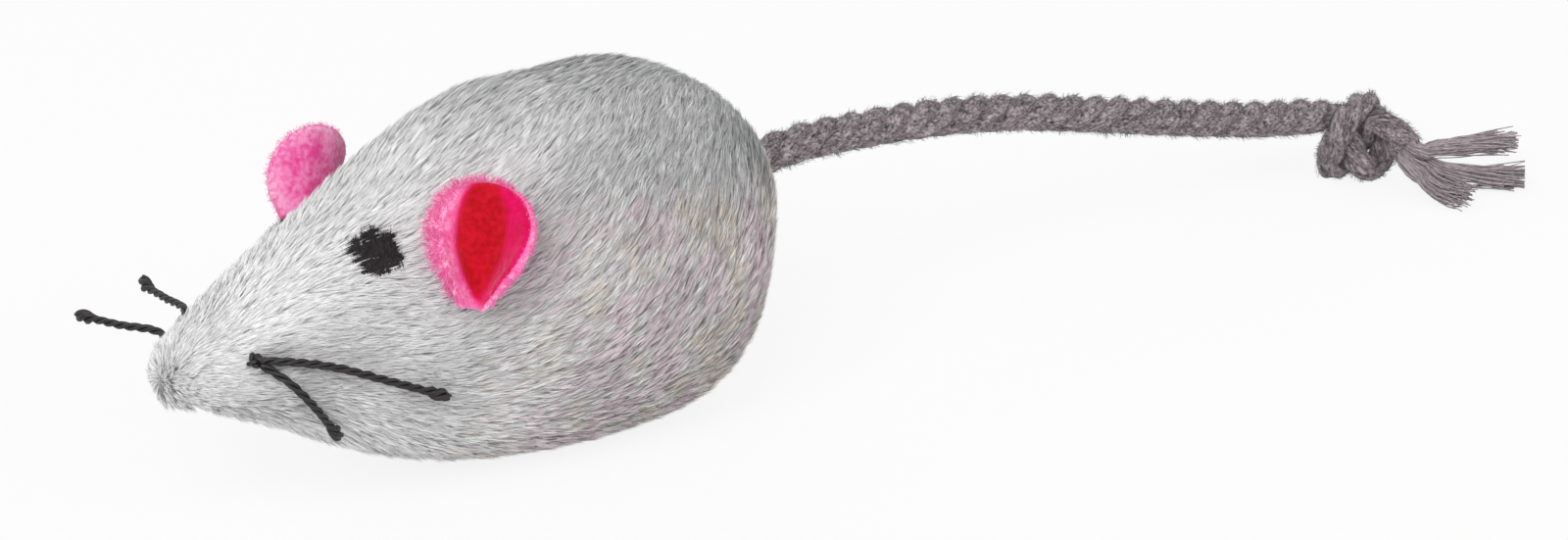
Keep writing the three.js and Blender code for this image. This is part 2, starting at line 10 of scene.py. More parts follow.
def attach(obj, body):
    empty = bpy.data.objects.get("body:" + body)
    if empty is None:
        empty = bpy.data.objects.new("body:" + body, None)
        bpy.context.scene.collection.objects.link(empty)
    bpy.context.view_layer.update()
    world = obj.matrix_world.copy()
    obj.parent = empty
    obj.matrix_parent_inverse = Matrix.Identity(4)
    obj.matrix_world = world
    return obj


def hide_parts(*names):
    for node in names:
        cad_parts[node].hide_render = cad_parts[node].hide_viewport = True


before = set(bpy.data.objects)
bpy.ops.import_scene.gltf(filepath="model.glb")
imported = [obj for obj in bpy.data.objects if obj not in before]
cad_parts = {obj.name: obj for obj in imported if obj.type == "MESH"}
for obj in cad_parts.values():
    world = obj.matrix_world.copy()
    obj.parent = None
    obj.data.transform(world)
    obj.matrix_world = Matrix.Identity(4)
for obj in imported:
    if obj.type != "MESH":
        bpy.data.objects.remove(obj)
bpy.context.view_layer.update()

# Sizes are written in millimetres and made metres here
MM = 0.001
SEED = 7
# The right side's pieces are made on the left and mirrored
SIDES = {"left": 1, "right": -1}

# Camera
AIM = Vector((25.18, 0, 7.71)) * MM
AZIMUTH = -40
ELEVATION = 22
DISTANCE = 620 * MM
LENS = 160.41
CLIP_START = 10 * MM

# Studio: each lamp's size, power and place in metres
LAMPS = {
    "key": (0.5, 5.6, (-0.65, -0.45, 0.6)),
    "fill": (0.6, 1.6, (0.5, -0.7, 0.3)),
    "back": (0.5, 0.6, (0.1, 0.7, 0.5)),
}
LAMPS_AIM = Vector((0, 0, 15)) * MM
WORLD_STRENGTH = 0.5
FLOOR_REACH = 1500 * MM
FLOOR_GLOW = 0.86
FLOOR_GREY = 0.92
FLOOR_ROUGHNESS = 0.9

# Body, as in the solids: its pile's outer surface
BODY_LENGTH = 65.8 * MM
NOSE_TO_ORIGIN = 42.8 * MM
BODY_HALF_WIDTH = 15.5 * MM
CROWN_RISE = 15.4 * MM
NOSE_HEIGHT = 13.9 * MM
RUMP_HEIGHT = 19.1 * MM
BELLY_FLAT = 0.5 * MM
STATION_SHARES = [0, 0.03, 0.09, 0.18, 0.3, 0.42, 0.55, 0.68, 0.8, 0.9, 0.955, 1]
WIDTH_SHARES = [0, 0.265, 0.425, 0.54, 0.7, 0.82, 0.95, 1, 0.985, 0.6, 0.305, 0]
RISE_SHARES = [0, 0.24, 0.34, 0.52, 0.69, 0.89, 1, 0.93, 0.835, 0.55, 0.27, 0]
DROP_SHARES = [0, 0.05, 0.18, 0.365, 0.63, 0.82, 0.94, 1, 0.975, 0.735, 0.34, 0]
SLOPE_SPAN = 0.01

# Plush cloth under the pile
PILE_DEPTH = 0.75 * MM
CLOTH_OVER_TABLE = 0.7 * MM
RUMP_DRAWN_IN = 0.6 * MM
CLOTH_LEAST_RADIUS = 1.2 * PILE_DEPTH
CLOTH_RINGS = 150
CLOTH_SIDES = 160

# Pile: its hairs, and the degrees that they are brushed up from the way along the body, by way along it
HAIR_OVER_TABLE = 0.05 * MM
HAIR_COUNT = 480000
TUFT_COUNT = 26000
PILE_PIECES = 9
PILE_HAIRS = {
    "Length": 2.1 * MM,
    "Width": 0.11 * MM,
    "Lift": math.radians(14),
    "Lift spread": math.radians(8),
    "Turn spread": math.radians(13),
    "Gathering": 0.5,
    "Tuft tone": 0.17,
    "Fibre tone": 0.2,
}
NAP_WAYS = [0, 0.35, 0.48, 0.6, 0.75, 0.86, 1]
NAP_ANGLES = [-6, -4, 22, 58, 76, 80, 70]
BROW_NAP = -24
# Rings round the stitches and the mouth, in which the pile goes from bare or shaded to full
EYE_BARE_SHARES = (0.32, 0.48)
WHISKER_BARE = (1.0 * MM, 1.6 * MM)
WHISKER_SHADE = (0.8 * MM, 2.2 * MM)
WHISKER_SHADE_SHARES = [0.6, 1, 1]
MOUTH_BARE_WIDTH = 0.3 * MM
# Tones from 0, dark, to 1, light: the plain pile's, what each part of the body adds to it, and how far
# patches of the pile differ. The crown's added tone is partly the face's own lighter grey and partly painted
# light; the rear's is partly its own darker grey and partly painted shade; the low side's, and the nose's
# among its standing fibres, are painted light; the stitches' is painted shade round the whisker knots; the
# side's darkens the sides behind the nose
PILE_TONE = 0.66
ADDED_TONES = {"crown": 0.32, "rear": -0.5, "low": 0.27, "nose": 0.22, "side": -0.12, "stitches": -0.4}
PATCH_TONE = 0.2
# Sizes of the pile's patches
TONE_PATCH = 6 * MM
BORDER_PATCH = 3 * MM
HUE_PATCH = 3.5 * MM

# Loose fibres on rope, felt and yarn: how many on a square metre, their length and width, and in
# radians their lift, how much it varies and how much their direction does
FUZZ_INPUTS = ["Fibres per area", "Length", "Width", "Lift", "Lift spread", "Turn spread"]
FUZZ = {
    "rope": [16e6, 0.8 * MM, 0.045 * MM, 0.22, 0.3, 0.9],
    "felt": [90e6, 1.05 * MM, 0.04 * MM, 0.5, 0.5, 1.3],
    "yarn": [14e6, 0.65 * MM, 0.035 * MM, 0.25, 0.35, 0.9],
}
FUZZ_TONE = 0.45

# Thread that gathers the plush at the rump
GATHER_RING_RADIUS = 3.2 * MM
GATHER_DIAMETER = 0.6 * MM
GATHER_DEPTH = 0.35 * MM
GATHER_LAY = 2 * MM
GATHER_STEPS = 73

# Tail rope and its knot, as in the solids; the knot is drawn with the rope's real thickness in it
ROPE_DIAMETER = 3.4 * MM
MOUTH_BEHIND_TIP = 1.3 * MM
CLEARANCE = 0.3 * MM
ROPE_LAY = 9.0 * MM
ROPE_PRESSED = 1.17
ROPE_ROUTE = np.array(
    [
        [27, 0, 19.35], [34, 0, 18.85], [41, 0, 18.1], [48, 0, 16.95], [55, 0, 15.4],
        [62, 0, 13.5], [69.2, 0, 11.5], [76.6, 0, 9.5], [83.6, 0, 7.75], [88.9, 0, 6.7],
    ]
) * MM
KNOT_SOLID_DIAMETER = 1.65 * MM
KNOT_DIAMETER = 2.65 * MM
KNOT_PLACE = [94.6 * MM, -1.6 * MM]
KNOT_TURN = -40
KNOT_LOBE_HALF_WIDTH = 2.6 * MM
KNOT_CROSSING_DEPTH = 1.7 * MM
KNOT_TOP = 1.9 * MM
KNOT_LOOP_HEIGHT = 6.1 * MM
KNOT_TABLE_CUT = 0.2 * MM
KNOT_TIMES = [-1.95, -1.68, -1.34, -0.96, -0.85, -0.36, 0, 0.36, 0.85, 0.96, 1.34, 1.68, 1.95]
KNOT_DEPTHS = [0.37, -1.06, 0.35, 0.62, 1.25, 1.25, 0, -1.25, -1.25, -0.62, -0.35, 1.06, -0.37]
KNOT_EXIT = np.array([[96.5, -4.6, 4.8], [96.6, -6.8, 3.4]]) * MM
ROPE_STEPS = 200
KNOT_STEPS = 170

# Frayed plies of the rope's end: routes and thickness in millimetres, as in the solids, and loose strands
PLY_ROOT_SPREAD = 0.95 * MM
PLY_FIRST_TURN = 210
PLY_ROUTES = {
    "lower": [[96.1, -9.4, 1.75], [95.8, -11.9, 1.4], [96.4, -15, 1.25]],
    "middle": [[98.5, -9.3, 1.7], [100.8, -11.7, 1.25], [104, -14.7, 1.2]],
    "upper": [[98.9, -8.3, 3.5], [102, -9.8, 3.6], [106.2, -11.3, 3.3]],
}
PLY_DIAMETERS = {"lower": [1.3, 2.3, 2.1], "middle": [1.3, 1.5, 1.8], "upper": [1.3, 1.6, 1]}
FIBRES_PER_PLY = 190
FIBRE_DIAMETER = 0.1 * MM
FIBRE_WAVE = 0.12 * MM
FIBRE_FLARE = 0.5 * MM
FRAY_STEPS = 16

# Felt ears, as in the solids
EAR_HEIGHT = 10.8 * MM
EAR_FLAT_WIDTH = 10.2 * MM
EAR_BASE_WIDTH = 2.8 * MM
EAR_WIDEST_HEIGHT = 6 * MM
EAR_THICKNESS = 1.2 * MM
EAR_BASE_THICKNESS = 0.8 * MM
EAR_BASE_CURL = 0.85 * MM
EAR_STAND_OFF = 1.1 * MM
EAR_ARC_ENDS = (-36, 216)
EAR_ARC_STEPS = 60
# Where each ear sits and how it is curled and turned, in millimetres and degrees
EARS = {
    "left": dict(behind_nose=24.1, top_curl=7.2, cup_offset=0.6, round=16, yaw=48, tilt=16, roll=-6),
    "right": dict(behind_nose=25.6, top_curl=7, cup_offset=1.6, round=3.5, yaw=29, tilt=0, roll=-36),
}
# The felt's mesh: rings as shares of the way from its middle to its edge, which is rounded past EAR_RIM_SHARE
EAR_CORNERS = 120
EAR_RING_SHARES = np.array(
    [0.06, 0.14, 0.22, 0.3, 0.38, 0.46, 0.54, 0.62, 0.7, 0.78, 0.85, 0.91, 0.955, 0.985, 1]
)
EAR_RIM_SHARE = 0.9
FELT_DENT_DEPTH = 0.12 * MM
FELT_DENT_SIZE = 2.2 * MM
FELT_LIP = 0.16 * MM
FELT_SEED = 40
FELT_RAGGED = 0.3
# Spans of the flat felt, in millimetres across it from its middle line, up it, in from its edge or into
# its red middle
FELT_SPANS = {
    "rim widens": (-2.5, 0.5),
    "lip ends across": (-1, 0.5),
    "lip ends at edge": (0, 0.4),
    "lip ends in middle": (-0.1, 0.3),
    "pale rim ends": (-1.5, 1.5),
    "fuzzy edge": (0.1, 0.9),
    "outer edge": (0, 0.2),
    "bare middle": (-1.0, -0.2),
    "bare base": (0.4, 1.5),
    "long fuzz ends": (-1, 3),
}
RIM_WIDENING = 0.5
PALE_RIM = 2
# How many loose fibres each ear has, and how long they are, as shares of the most
EAR_FUZZ_SHARES = {"left": (1, 1), "right": (0.35, 0.5)}
# Red middle of the ear's front, painted shade inside the cup, in millimetres of the flat felt: CORE_BENDS
# are those of its left edge below and above its widest height
CORE_LEFT = -2.6
CORE_WIDEST = 6
CORE_TIP = 0.9
CORE_RIM = -0.3
CORE_ROUNDING = 0.3
CORE_BENDS = (0.11, 0.036)
# Where the painted shade turns from crimson to magenta, painted light on the cup's lit inside, toward the
# right
CRIMSON_RIGHT = 2.45
CRIMSON_BEND = 0.08

# Eyes of black yarn
EYE_DIAMETER = 4.7 * MM
EYE_BEHIND_NOSE = 18.8 * MM
EYE_ANGLES = {"left": 57.5, "right": 30}
# Clumps of yarn fibres: places across and up, half lengths and half widths as shares of the eye's
# radius, and leans in degrees from the way to the rear
EYE_CLUMP_SHARES = [
    [-0.08, -0.08, 0.86, 0.74, 72],
    [-0.36, 0.22, 0.66, 0.58, 62],
    [0.2, 0.56, 0.4, 0.34, 50],
    [0.66, 0.2, 0.36, 0.24, 38],
    [0.4, -0.22, 0.52, 0.32, 60],
    [-0.45, -0.45, 0.5, 0.36, 95],
    [0.0, -0.6, 0.4, 0.26, 88],
    [0.5, -0.66, 0.36, 0.22, 80],
]
EYE_STRAND_COUNT = 220
EYE_STRAND_DIAMETER = 0.15 * MM
EYE_DEPTH = 0.55 * MM
EYE_CURVE_DIAMETER = 22 * MM
EYE_PROUD = 0.1 * MM
EYE_STRAND_STEPS = 9

# Whisker threads, as in the solids: left ones lie on the pile, by distances behind the nose and angles
# round the body, and right ones stand free, by distances back, outward and up from their knot
WHISKER_DIAMETER = 0.75 * MM
WHISKER_KNOT_DIAMETER = 1.7 * MM
WHISKER_TIP_DIAMETER = 1.25 * MM
WHISKER_TIP_LENGTH = 2.2 * MM
WHISKER_TIP_ROUNDING = 0.4 * MM
WHISKER_LAY = 3.6 * MM
WHISKER_BEHIND_NOSE = 6.4 * MM
WHISKER_ANGLES = {"left": 33, "right": 2}
WHISKER_STEPS = 90
WHISKER_KNOT_STEPS = 61
WHISKER_KNOT_FLATTENED = 0.7
WHISKER_START_SHARE = 0.35
LYING_HEIGHT = 0.95 * MM
LYING_WHISKERS = {
    "whisker_left_upper": ([8.4, 11.9, 16.3, 21.9], [23, 11, -3, -16]),
    "whisker_left_lower": ([8.2, 10, 14], [10, -9, -43]),
}
FREE_WHISKERS = {
    "whisker_right_upper": [
        [1.8, 1.4, 0.9], [3.4, 2.4, 1.6], [4.7, 7.3, 1], [5.6, 11.3, 0.7], [5.9, 12.1, 1.1],
    ],
    "whisker_right_lower": [[0.6, 2.3, 0.5], [-0.8, 6.3, 0.3], [-1.6, 11.3, -0.15]],
}

# Threads: how many plies each has, the length in which they turn once, and the sides of each ply's section
THREADS = {
    "rope": (3, ROPE_LAY, 14),
    "fray": (1, ROPE_LAY, 4),
    "gather": (2, GATHER_LAY, 6),
    "yarn": (1, ROPE_LAY, 5),
    "whisker": (3, WHISKER_LAY, 8),
    "whisker knot": (2, WHISKER_LAY, 8),
}

# Relief of the finishes: how deep their bumps are, and how far the flecks of matted ones are bent
SMOOTH_BUMP = 0.03 * MM
THREAD_BUMP = 0.05 * MM
MATTED_BUMP = 0.06 * MM
COARSE_BUMP = 0.1 * MM
HERB_BUMP = 0.2 * MM
FLECK_BEND = 0.3 * MM
FELT_FLECK_BEND = 0.25 * MM

random = np.random.default_rng(SEED)


# Camera

def make_camera():
    turn, up = math.radians(AZIMUTH), math.radians(ELEVATION)
    back = Vector((math.sin(turn) * math.cos(up), -math.cos(turn) * math.cos(up), math.sin(up)))
    camera = object_of("camera", bpy.data.cameras.new("camera"))
    camera.data.lens = LENS
    camera.data.clip_start = CLIP_START
    camera.location = AIM + back * DISTANCE
    camera.rotation_euler = back.to_track_quat("Z", "Y").to_euler()
    bpy.context.scene.camera = camera


# Curves and directions

def unit(vectors):
    return vectors / np.maximum(np.linalg.norm(vectors, axis=-1, keepdims=True), 1e-12)


def curve_through(points, spacing_power=0.5, run_on=True):
    """A smooth curve through points: its places from 0 to 1, given as an array"""
    points = np.asarray(points, float)
    first = 2 * points[0] - points[1] if run_on else points[0]
    last = 2 * points[-1] - points[-2] if run_on else points[-1]
    held = np.vstack([first, points, last])

    def place(share):
        along = np.asarray(share, float) * (len(points) - 1)
        span = np.clip(along.astype(int), 0, len(points) - 2)
        rest = (along - span)[..., None]
        a, b, c, d = (held[span + step] for step in range(4))
        before, here, after = (
            np.linalg.norm(end - start, axis=-1, keepdims=True) ** spacing_power
            for start, end in ((a, b), (b, c), (c, d))
        )
        leave = ((b - a) / before - (c - a) / (before + here) + (c - b) / here) * here
        arrive = ((c - b) / here - (d - b) / (here + after) + (d - c) / after) * here
        square = 3 * (c - b) - 2 * leave - arrive
        cube = 2 * (b - c) + leave + arrive
        return b + rest * (leave + rest * (square + rest * cube))

    return place


def evenly(curve, count):
    """Points at even distances along a curve"""
    fine = curve(np.linspace(0, 1, 30 * count))
    walked = walked_along(fine)
    steps = np.linspace(0, walked[-1], count)
    return np.column_stack([np.interp(steps, walked, fine[:, axis]) for axis in range(3)])


def walked_along(points):
    return np.concatenate([[0], np.cumsum(np.linalg.norm(np.diff(points, axis=0), axis=1))])


def frames_along(points):
    """Ways sideways and upward along a path, turning as little as can be"""
    forward = unit(np.gradient(points, axis=0))
    side = unit(np.cross(forward[0], (0.1, 0.2, 1)))
    sides = []
    for way in forward:
        side = unit(side - way * (side @ way))
        sides.append(side)
    sides = np.array(sides)
    return sides, np.cross(forward, sides)


def nearest_of(points, places):
    """The number of the nearest of a few points, for each place"""
    found = []
    for start in range(0, len(places), 2000):
        part = places[start:start + 2000]
        gaps = ((part[:, None, :] - points[None, :, :]) ** 2).sum(axis=-1)
        found.append(gaps.argmin(axis=1))
    return np.concatenate(found)


def direction(degrees_round, degrees_up):
    turn, up = math.radians(degrees_round), math.radians(degrees_up)
    return np.array([math.cos(turn) * math.cos(up), math.sin(turn) * math.cos(up), math.sin(up)])


def smoothstep(value, low, high):
    share = np.clip((value - low) / (high - low), 0, 1)
    return share * share * (3 - 2 * share)


def fading(value, low, high):
    return 1 - smoothstep(value, low, high)


def soft_noise(places, size, seed):
    """Smooth random numbers from 0 to 1 over places, changing over about the given size"""
    sources = np.random.default_rng(seed)
    total = np.zeros(len(places))
    for _ in range(7):
        way = unit(sources.normal(size=3))
        waves = places @ way * math.tau / (size * sources.uniform(0.8, 2.2))
        total += np.sin(waves + sources.uniform(0, 6.3))
    return np.clip(0.5 + total / 7, 0, 1)


# The body's surface

BELLY_SHARE = STATION_SHARES[int(np.argmax(DROP_SHARES))]
BELLY_DROP = NOSE_HEIGHT + (RUMP_HEIGHT - NOSE_HEIGHT) * BELLY_SHARE + BELLY_FLAT
core_line = curve_through(
    [
        [-NOSE_TO_ORIGIN + share * BODY_LENGTH, NOSE_HEIGHT + share * (RUMP_HEIGHT - NOSE_HEIGHT)]
        for share in STATION_SHARES
    ],
    spacing_power=0,
    run_on=False,
)
half_sizes = curve_through(
    np.column_stack([WIDTH_SHARES, RISE_SHARES, DROP_SHARES]) * [BODY_HALF_WIDTH, CROWN_RISE, BELLY_DROP],
    spacing_power=0,
)


def body_point(way, degrees, outward=0):
    """Points of the body's surface, by way along it and angle round it, moved out along its slope"""
    way = np.asarray(way, float)
    before, after = np.clip(way - SLOPE_SPAN, 0, 1), np.clip(way + SLOPE_SPAN, 0, 1)
    run = core_line(after)[..., 0] - core_line(before)[..., 0]
    slope = (half_sizes(after) - half_sizes(before)).mean(axis=-1) / run
    steep = 1 / np.sqrt(1 + slope ** 2)
    core = core_line(way)
    width, rise, drop = np.moveaxis(half_sizes(way) + (outward * steep)[..., None], -1, 0)
    turn = np.radians(degrees)
    upright = np.where(np.sin(turn) > 0, rise, drop)
    x = core[..., 0] - outward * slope * steep
    y, z = -width * np.cos(turn), core[..., 1] + upright * np.sin(turn)
    return np.stack(np.broadcast_arrays(x, y, z), axis=-1)


def body_frame(way, degrees):
    """The ways along the body, round it and out of it, at places on its surface"""
    way = np.clip(np.asarray(way, float), 2 * SLOPE_SPAN, 1 - 2 * SLOPE_SPAN)
    along = unit(body_point(way + SLOPE_SPAN, degrees) - body_point(way - SLOPE_SPAN, degrees))
    upward = unit(body_point(way, degrees + 1) - body_point(way, degrees - 1))
    out = unit(np.cross(along, upward))
    return along, np.cross(out, along), out


def over_pile(behind_nose, degrees, height):
    """A place over the left side's pile, and the way out of the pile there"""
    ways = np.linspace(0, 1, 4001)
    way = float(np.interp(behind_nose - NOSE_TO_ORIGIN, core_line(ways)[:, 0], ways))
    ahead = body_point(way + SLOPE_SPAN, degrees) - body_point(way - SLOPE_SPAN, degrees)
    around = body_point(way, degrees + 1) - body_point(way, degrees - 1)
    out = unit(np.cross(ahead, around))
    return body_point(way, degrees) + height * out, out


# Meshes and pieces

def add_attributes(mesh, **attributes):
    """Numbers or vectors, one for each corner, in place of any of the same name"""
    for label, values in attributes.items():
        values = np.asarray(values, np.float32)
        if label in mesh.attributes:
            mesh.attributes.remove(mesh.attributes[label])
        if values.ndim == 2:
            made = mesh.attributes.new(label, "FLOAT_VECTOR", "POINT")
            made.data.foreach_set("vector", values.ravel())
        else:
            made = mesh.attributes.new(label, "FLOAT", "POINT")
            made.data.foreach_set("value", values)


def mesh_of(name, corners, faces, edges=(), **attributes):
    """A mesh with smooth faces and its own attributes"""
    mesh = bpy.data.meshes.new(name)
    mesh.from_pydata(np.asarray(corners, float).tolist(), list(edges), faces)
    add_attributes(mesh, **attributes)
    mesh.shade_smooth()
    return mesh


def object_of(name, data):
    made = bpy.data.objects.new(name, data)
    bpy.context.scene.collection.objects.link(made)
    return made


def corners_of(mesh):
    flat = np.empty(3 * len(mesh.vertices), np.float32)
    mesh.vertices.foreach_get("co", flat)
    return flat.reshape(-1, 3).astype(float)


def dress(piece, body, slot, *nodes):
    """Puts a piece on the body it moves with, and lets it stand for solids"""
    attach(piece, body)
    if nodes:
        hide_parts(*nodes)
    return piece


# Node trees

class Wiring:
    """Puts nodes in a tree and joins them"""

    def __init__(self, tree):
        self.tree = tree

    def add(self, kind, values=None, **settings):
        made = self.tree.nodes.new(kind)
        for name, value in settings.items():
            setattr(made, name, value)
        for name, value in (values or {}).items():
            if isinstance(value, bpy.types.NodeSocket):
                self.tree.links.new(value, made.inputs[name])
            else:
                made.inputs[name].default_value = value
        return made

    def first(self, kind, values=None, **settings):
        """The first output of a new node"""
        return self.add(kind, values, **settings).outputs[0]

    def number(self, operation, *values, clamp=False):
        return self.first("ShaderNodeMath", dict(enumerate(values)), operation=operation, use_clamp=clamp)

    def times(self, one, other):
        return self.number("MULTIPLY", one, other)

    def plus(self, one, other):
        return self.number("ADD", one, other)

    def vector(self, operation, *values):
        return self.first("ShaderNodeVectorMath", dict(enumerate(values)), operation=operation)

    def scaled(self, value, scale):
        return self.first("ShaderNodeVectorMath", {0: value, "Scale": scale}, operation="SCALE")

    def turned(self, value, axis, angle):
        values = {"Vector": value, "Axis": axis, "Angle": angle}
        return self.first("ShaderNodeVectorRotate", values, rotation_type="AXIS_ANGLE")

    def split(self, value):
        return self.add("ShaderNodeSeparateXYZ", {0: value}).outputs

    def joined(self, x, y, z):
        return self.first("ShaderNodeCombineXYZ", {0: x, 1: y, 2: z})

    def mixed(self, share, one, other):
        values = {0: share, 6: one, 7: other}
        return self.add("ShaderNodeMix", values, data_type="RGBA", clamp_factor=True).outputs[2]

    def between(self, share, low, high):
        values = {0: share, 1: low, 2: high, 3: 0, 4: 1}
        return self.first("ShaderNodeMapRange", values, interpolation_type="SMOOTHSTEP")

    def place(self):
        return self.first("GeometryNodeInputPosition")

    def moved(self, geometry, place):
        return self.first("GeometryNodeSetPosition", {0: geometry, "Position": place})

    def read(self, name, kind="FLOAT"):
        return self.first("GeometryNodeInputNamedAttribute", {"Name": name}, data_type=kind)

    def read_vector(self, name):
        return self.read(name, "FLOAT_VECTOR")

    def store(self, geometry, name, value, kind="FLOAT", domain="POINT"):
        values = {"Geometry": geometry, "Name": name, "Value": value}
        return self.first("GeometryNodeStoreNamedAttribute", values, data_type=kind, domain=domain)

    def chance(self, low, high, seed, key=None):
        values = {2: low, 3: high, "Seed": seed}
        if key is not None:
            values["ID"] = key
        return self.add("FunctionNodeRandomValue", values, data_type="FLOAT").outputs[1]

    def real(self, instances):
        return self.first("GeometryNodeRealizeInstances", {0: instances})

    def finish(self, mesh, material):
        """Gives the tree's mesh its material and puts it out"""
        mesh = self.first("GeometryNodeSetMaterial", {0: mesh, "Material": material})
        self.tree.links.new(mesh, self.add("NodeGroupOutput").inputs[0])


def sockets_for(tree, way, kinds):
    for label, kind in kinds.items():
        tree.interface.new_socket(label, in_out=way, socket_type="NodeSocket" + kind)


def new_tree(name, kinds):
    tree = bpy.data.node_groups.new(name, "GeometryNodeTree")
    sockets_for(tree, "INPUT", kinds)
    sockets_for(tree, "OUTPUT", {"Geometry": "Geometry"})
    wire = Wiring(tree)
    return tree, wire, wire.add("NodeGroupInput").outputs


def grown(name, mesh, tree, values):
    """A plain mesh object made by running a geometry tree on a mesh"""
    base = object_of(name, mesh)
    modifier = base.modifiers.new(tree.name, "NODES")
    modifier.node_group = tree
    sockets = {item.name: item.identifier for item in tree.interface.items_tree if item.in_out == "INPUT"}
    for label, value in values.items():
        modifier[sockets[label]] = value
    depsgraph = bpy.context.evaluated_depsgraph_get()
    made = bpy.data.meshes.new_from_object(
        base.evaluated_get(depsgraph), preserve_all_data_layers=True, depsgraph=depsgraph
    )
    bpy.data.objects.remove(base)
    made.name = name
    made.shade_smooth()
    return object_of(name, made)


# Short fibres on a surface: pile hairs, felt fuzz and rope fuzz

FIBRE_INPUTS = {
    "Surface": "Geometry",
    **dict.fromkeys(["Fibres per area", "Tufts per area", *PILE_HAIRS, "From", "To"], "Float"),
    **dict.fromkeys(["Tuft seed", "Root seed"], "Int"),
    "Material": "Material",
}
FIBRE_DEFAULTS = {
    "Tufts per area": 4e6,
    "Gathering": 0.0,
    "Tuft tone": 0.15,
    "From": -1.0,
    "To": 1.0,
    "Tuft seed": SEED,
    "Root seed": SEED + 1,
}
# How a fibre differs from its tuft: shares of the tuft's spreads and of its length, and its roll in radians
OWN_TURN_SHARE = 0.5
OWN_LIFT_SHARE = 0.6
LENGTH_SHARES = (0.7, 1.15)
ROLL = 0.7
# A few fibres at random are made much darker, painted shade like that in the gaps of the pile: by how much,
# and how rare they are
GAP_SHADE_TONE = 0.75
GAP_SHADE_RARITY = 7
# A blade narrows up its length, and is a point past one share of it, where corners this near are one
POINTED_SHARE = 0.75
NARROWING_SHARE = 0.3
MERGE_SHARE = 0.01
# The colour map: its rows of hues, and the margins round it and in each row
HUE_ROWS = 5
HUE_SPREAD = 0.3
MAP_MARGIN = 0.03
ROW_MARGIN = 0.1
BLADE_MAP_WIDTH = 0.008


def fibre_blade(wire):
    """One flat pointed blade of a quad and a triangle, with its places along and across"""
    grid = wire.first("GeometryNodeMeshGrid", {"Size X": 2, "Size Y": 1, "Vertices X": 2, "Vertices Y": 3})
    x, y, _ = wire.split(wire.place())
    along = wire.plus(y, 0.5)
    tapered = wire.times(x, wire.number("LESS_THAN", along, POINTED_SHARE))
    blade = wire.moved(grid, wire.joined(tapered, along, 0))
    blade = wire.first("GeometryNodeMergeByDistance", {0: blade, "Distance": MERGE_SHARE})
    x, y, _ = wire.split(wire.place())
    return wire.store(wire.store(blade, "across", x), "along", y)


def bend_blades(wire, blades):
    """Lays blades along their own ways, over the table"""
    along, across = wire.read("along"), wire.read("across")
    arched = wire.times(along, wire.number("SUBTRACT", 2, along))
    narrowing = wire.times(across, wire.number("SUBTRACT", 1, wire.times(along, NARROWING_SHARE)))
    at = wire.read_vector("root")
    for name, share in {"run": along, "rise": arched, "gather": along, "half": narrowing}.items():
        at = wire.vector("ADD", at, wire.scaled(wire.read_vector(name), share))
    x, y, z = wire.split(at)
    return wire.moved(blades, wire.joined(x, y, wire.number("MAXIMUM", z, HAIR_OVER_TABLE)))


def map_blades(wire, blades):
    """Places blades on the colour map: tone across it, and in each hue's row from root to tip"""
    along, across = wire.read("along"), wire.read("across")
    row = wire.number("FLOOR", wire.times(wire.read("fibre hue"), HUE_ROWS - 0.001))
    tone = wire.number("MULTIPLY_ADD", wire.read("tone"), 1 - 2 * MAP_MARGIN, MAP_MARGIN)
    up_row = wire.number("MULTIPLY_ADD", along, 1 - 2 * ROW_MARGIN, ROW_MARGIN)
    u = wire.plus(tone, wire.times(across, BLADE_MAP_WIDTH))
    v = wire.number("DIVIDE", wire.plus(row, up_row), HUE_ROWS)
    return wire.store(blades, "OFBake", wire.joined(u, v, 0), "FLOAT2", "CORNER")


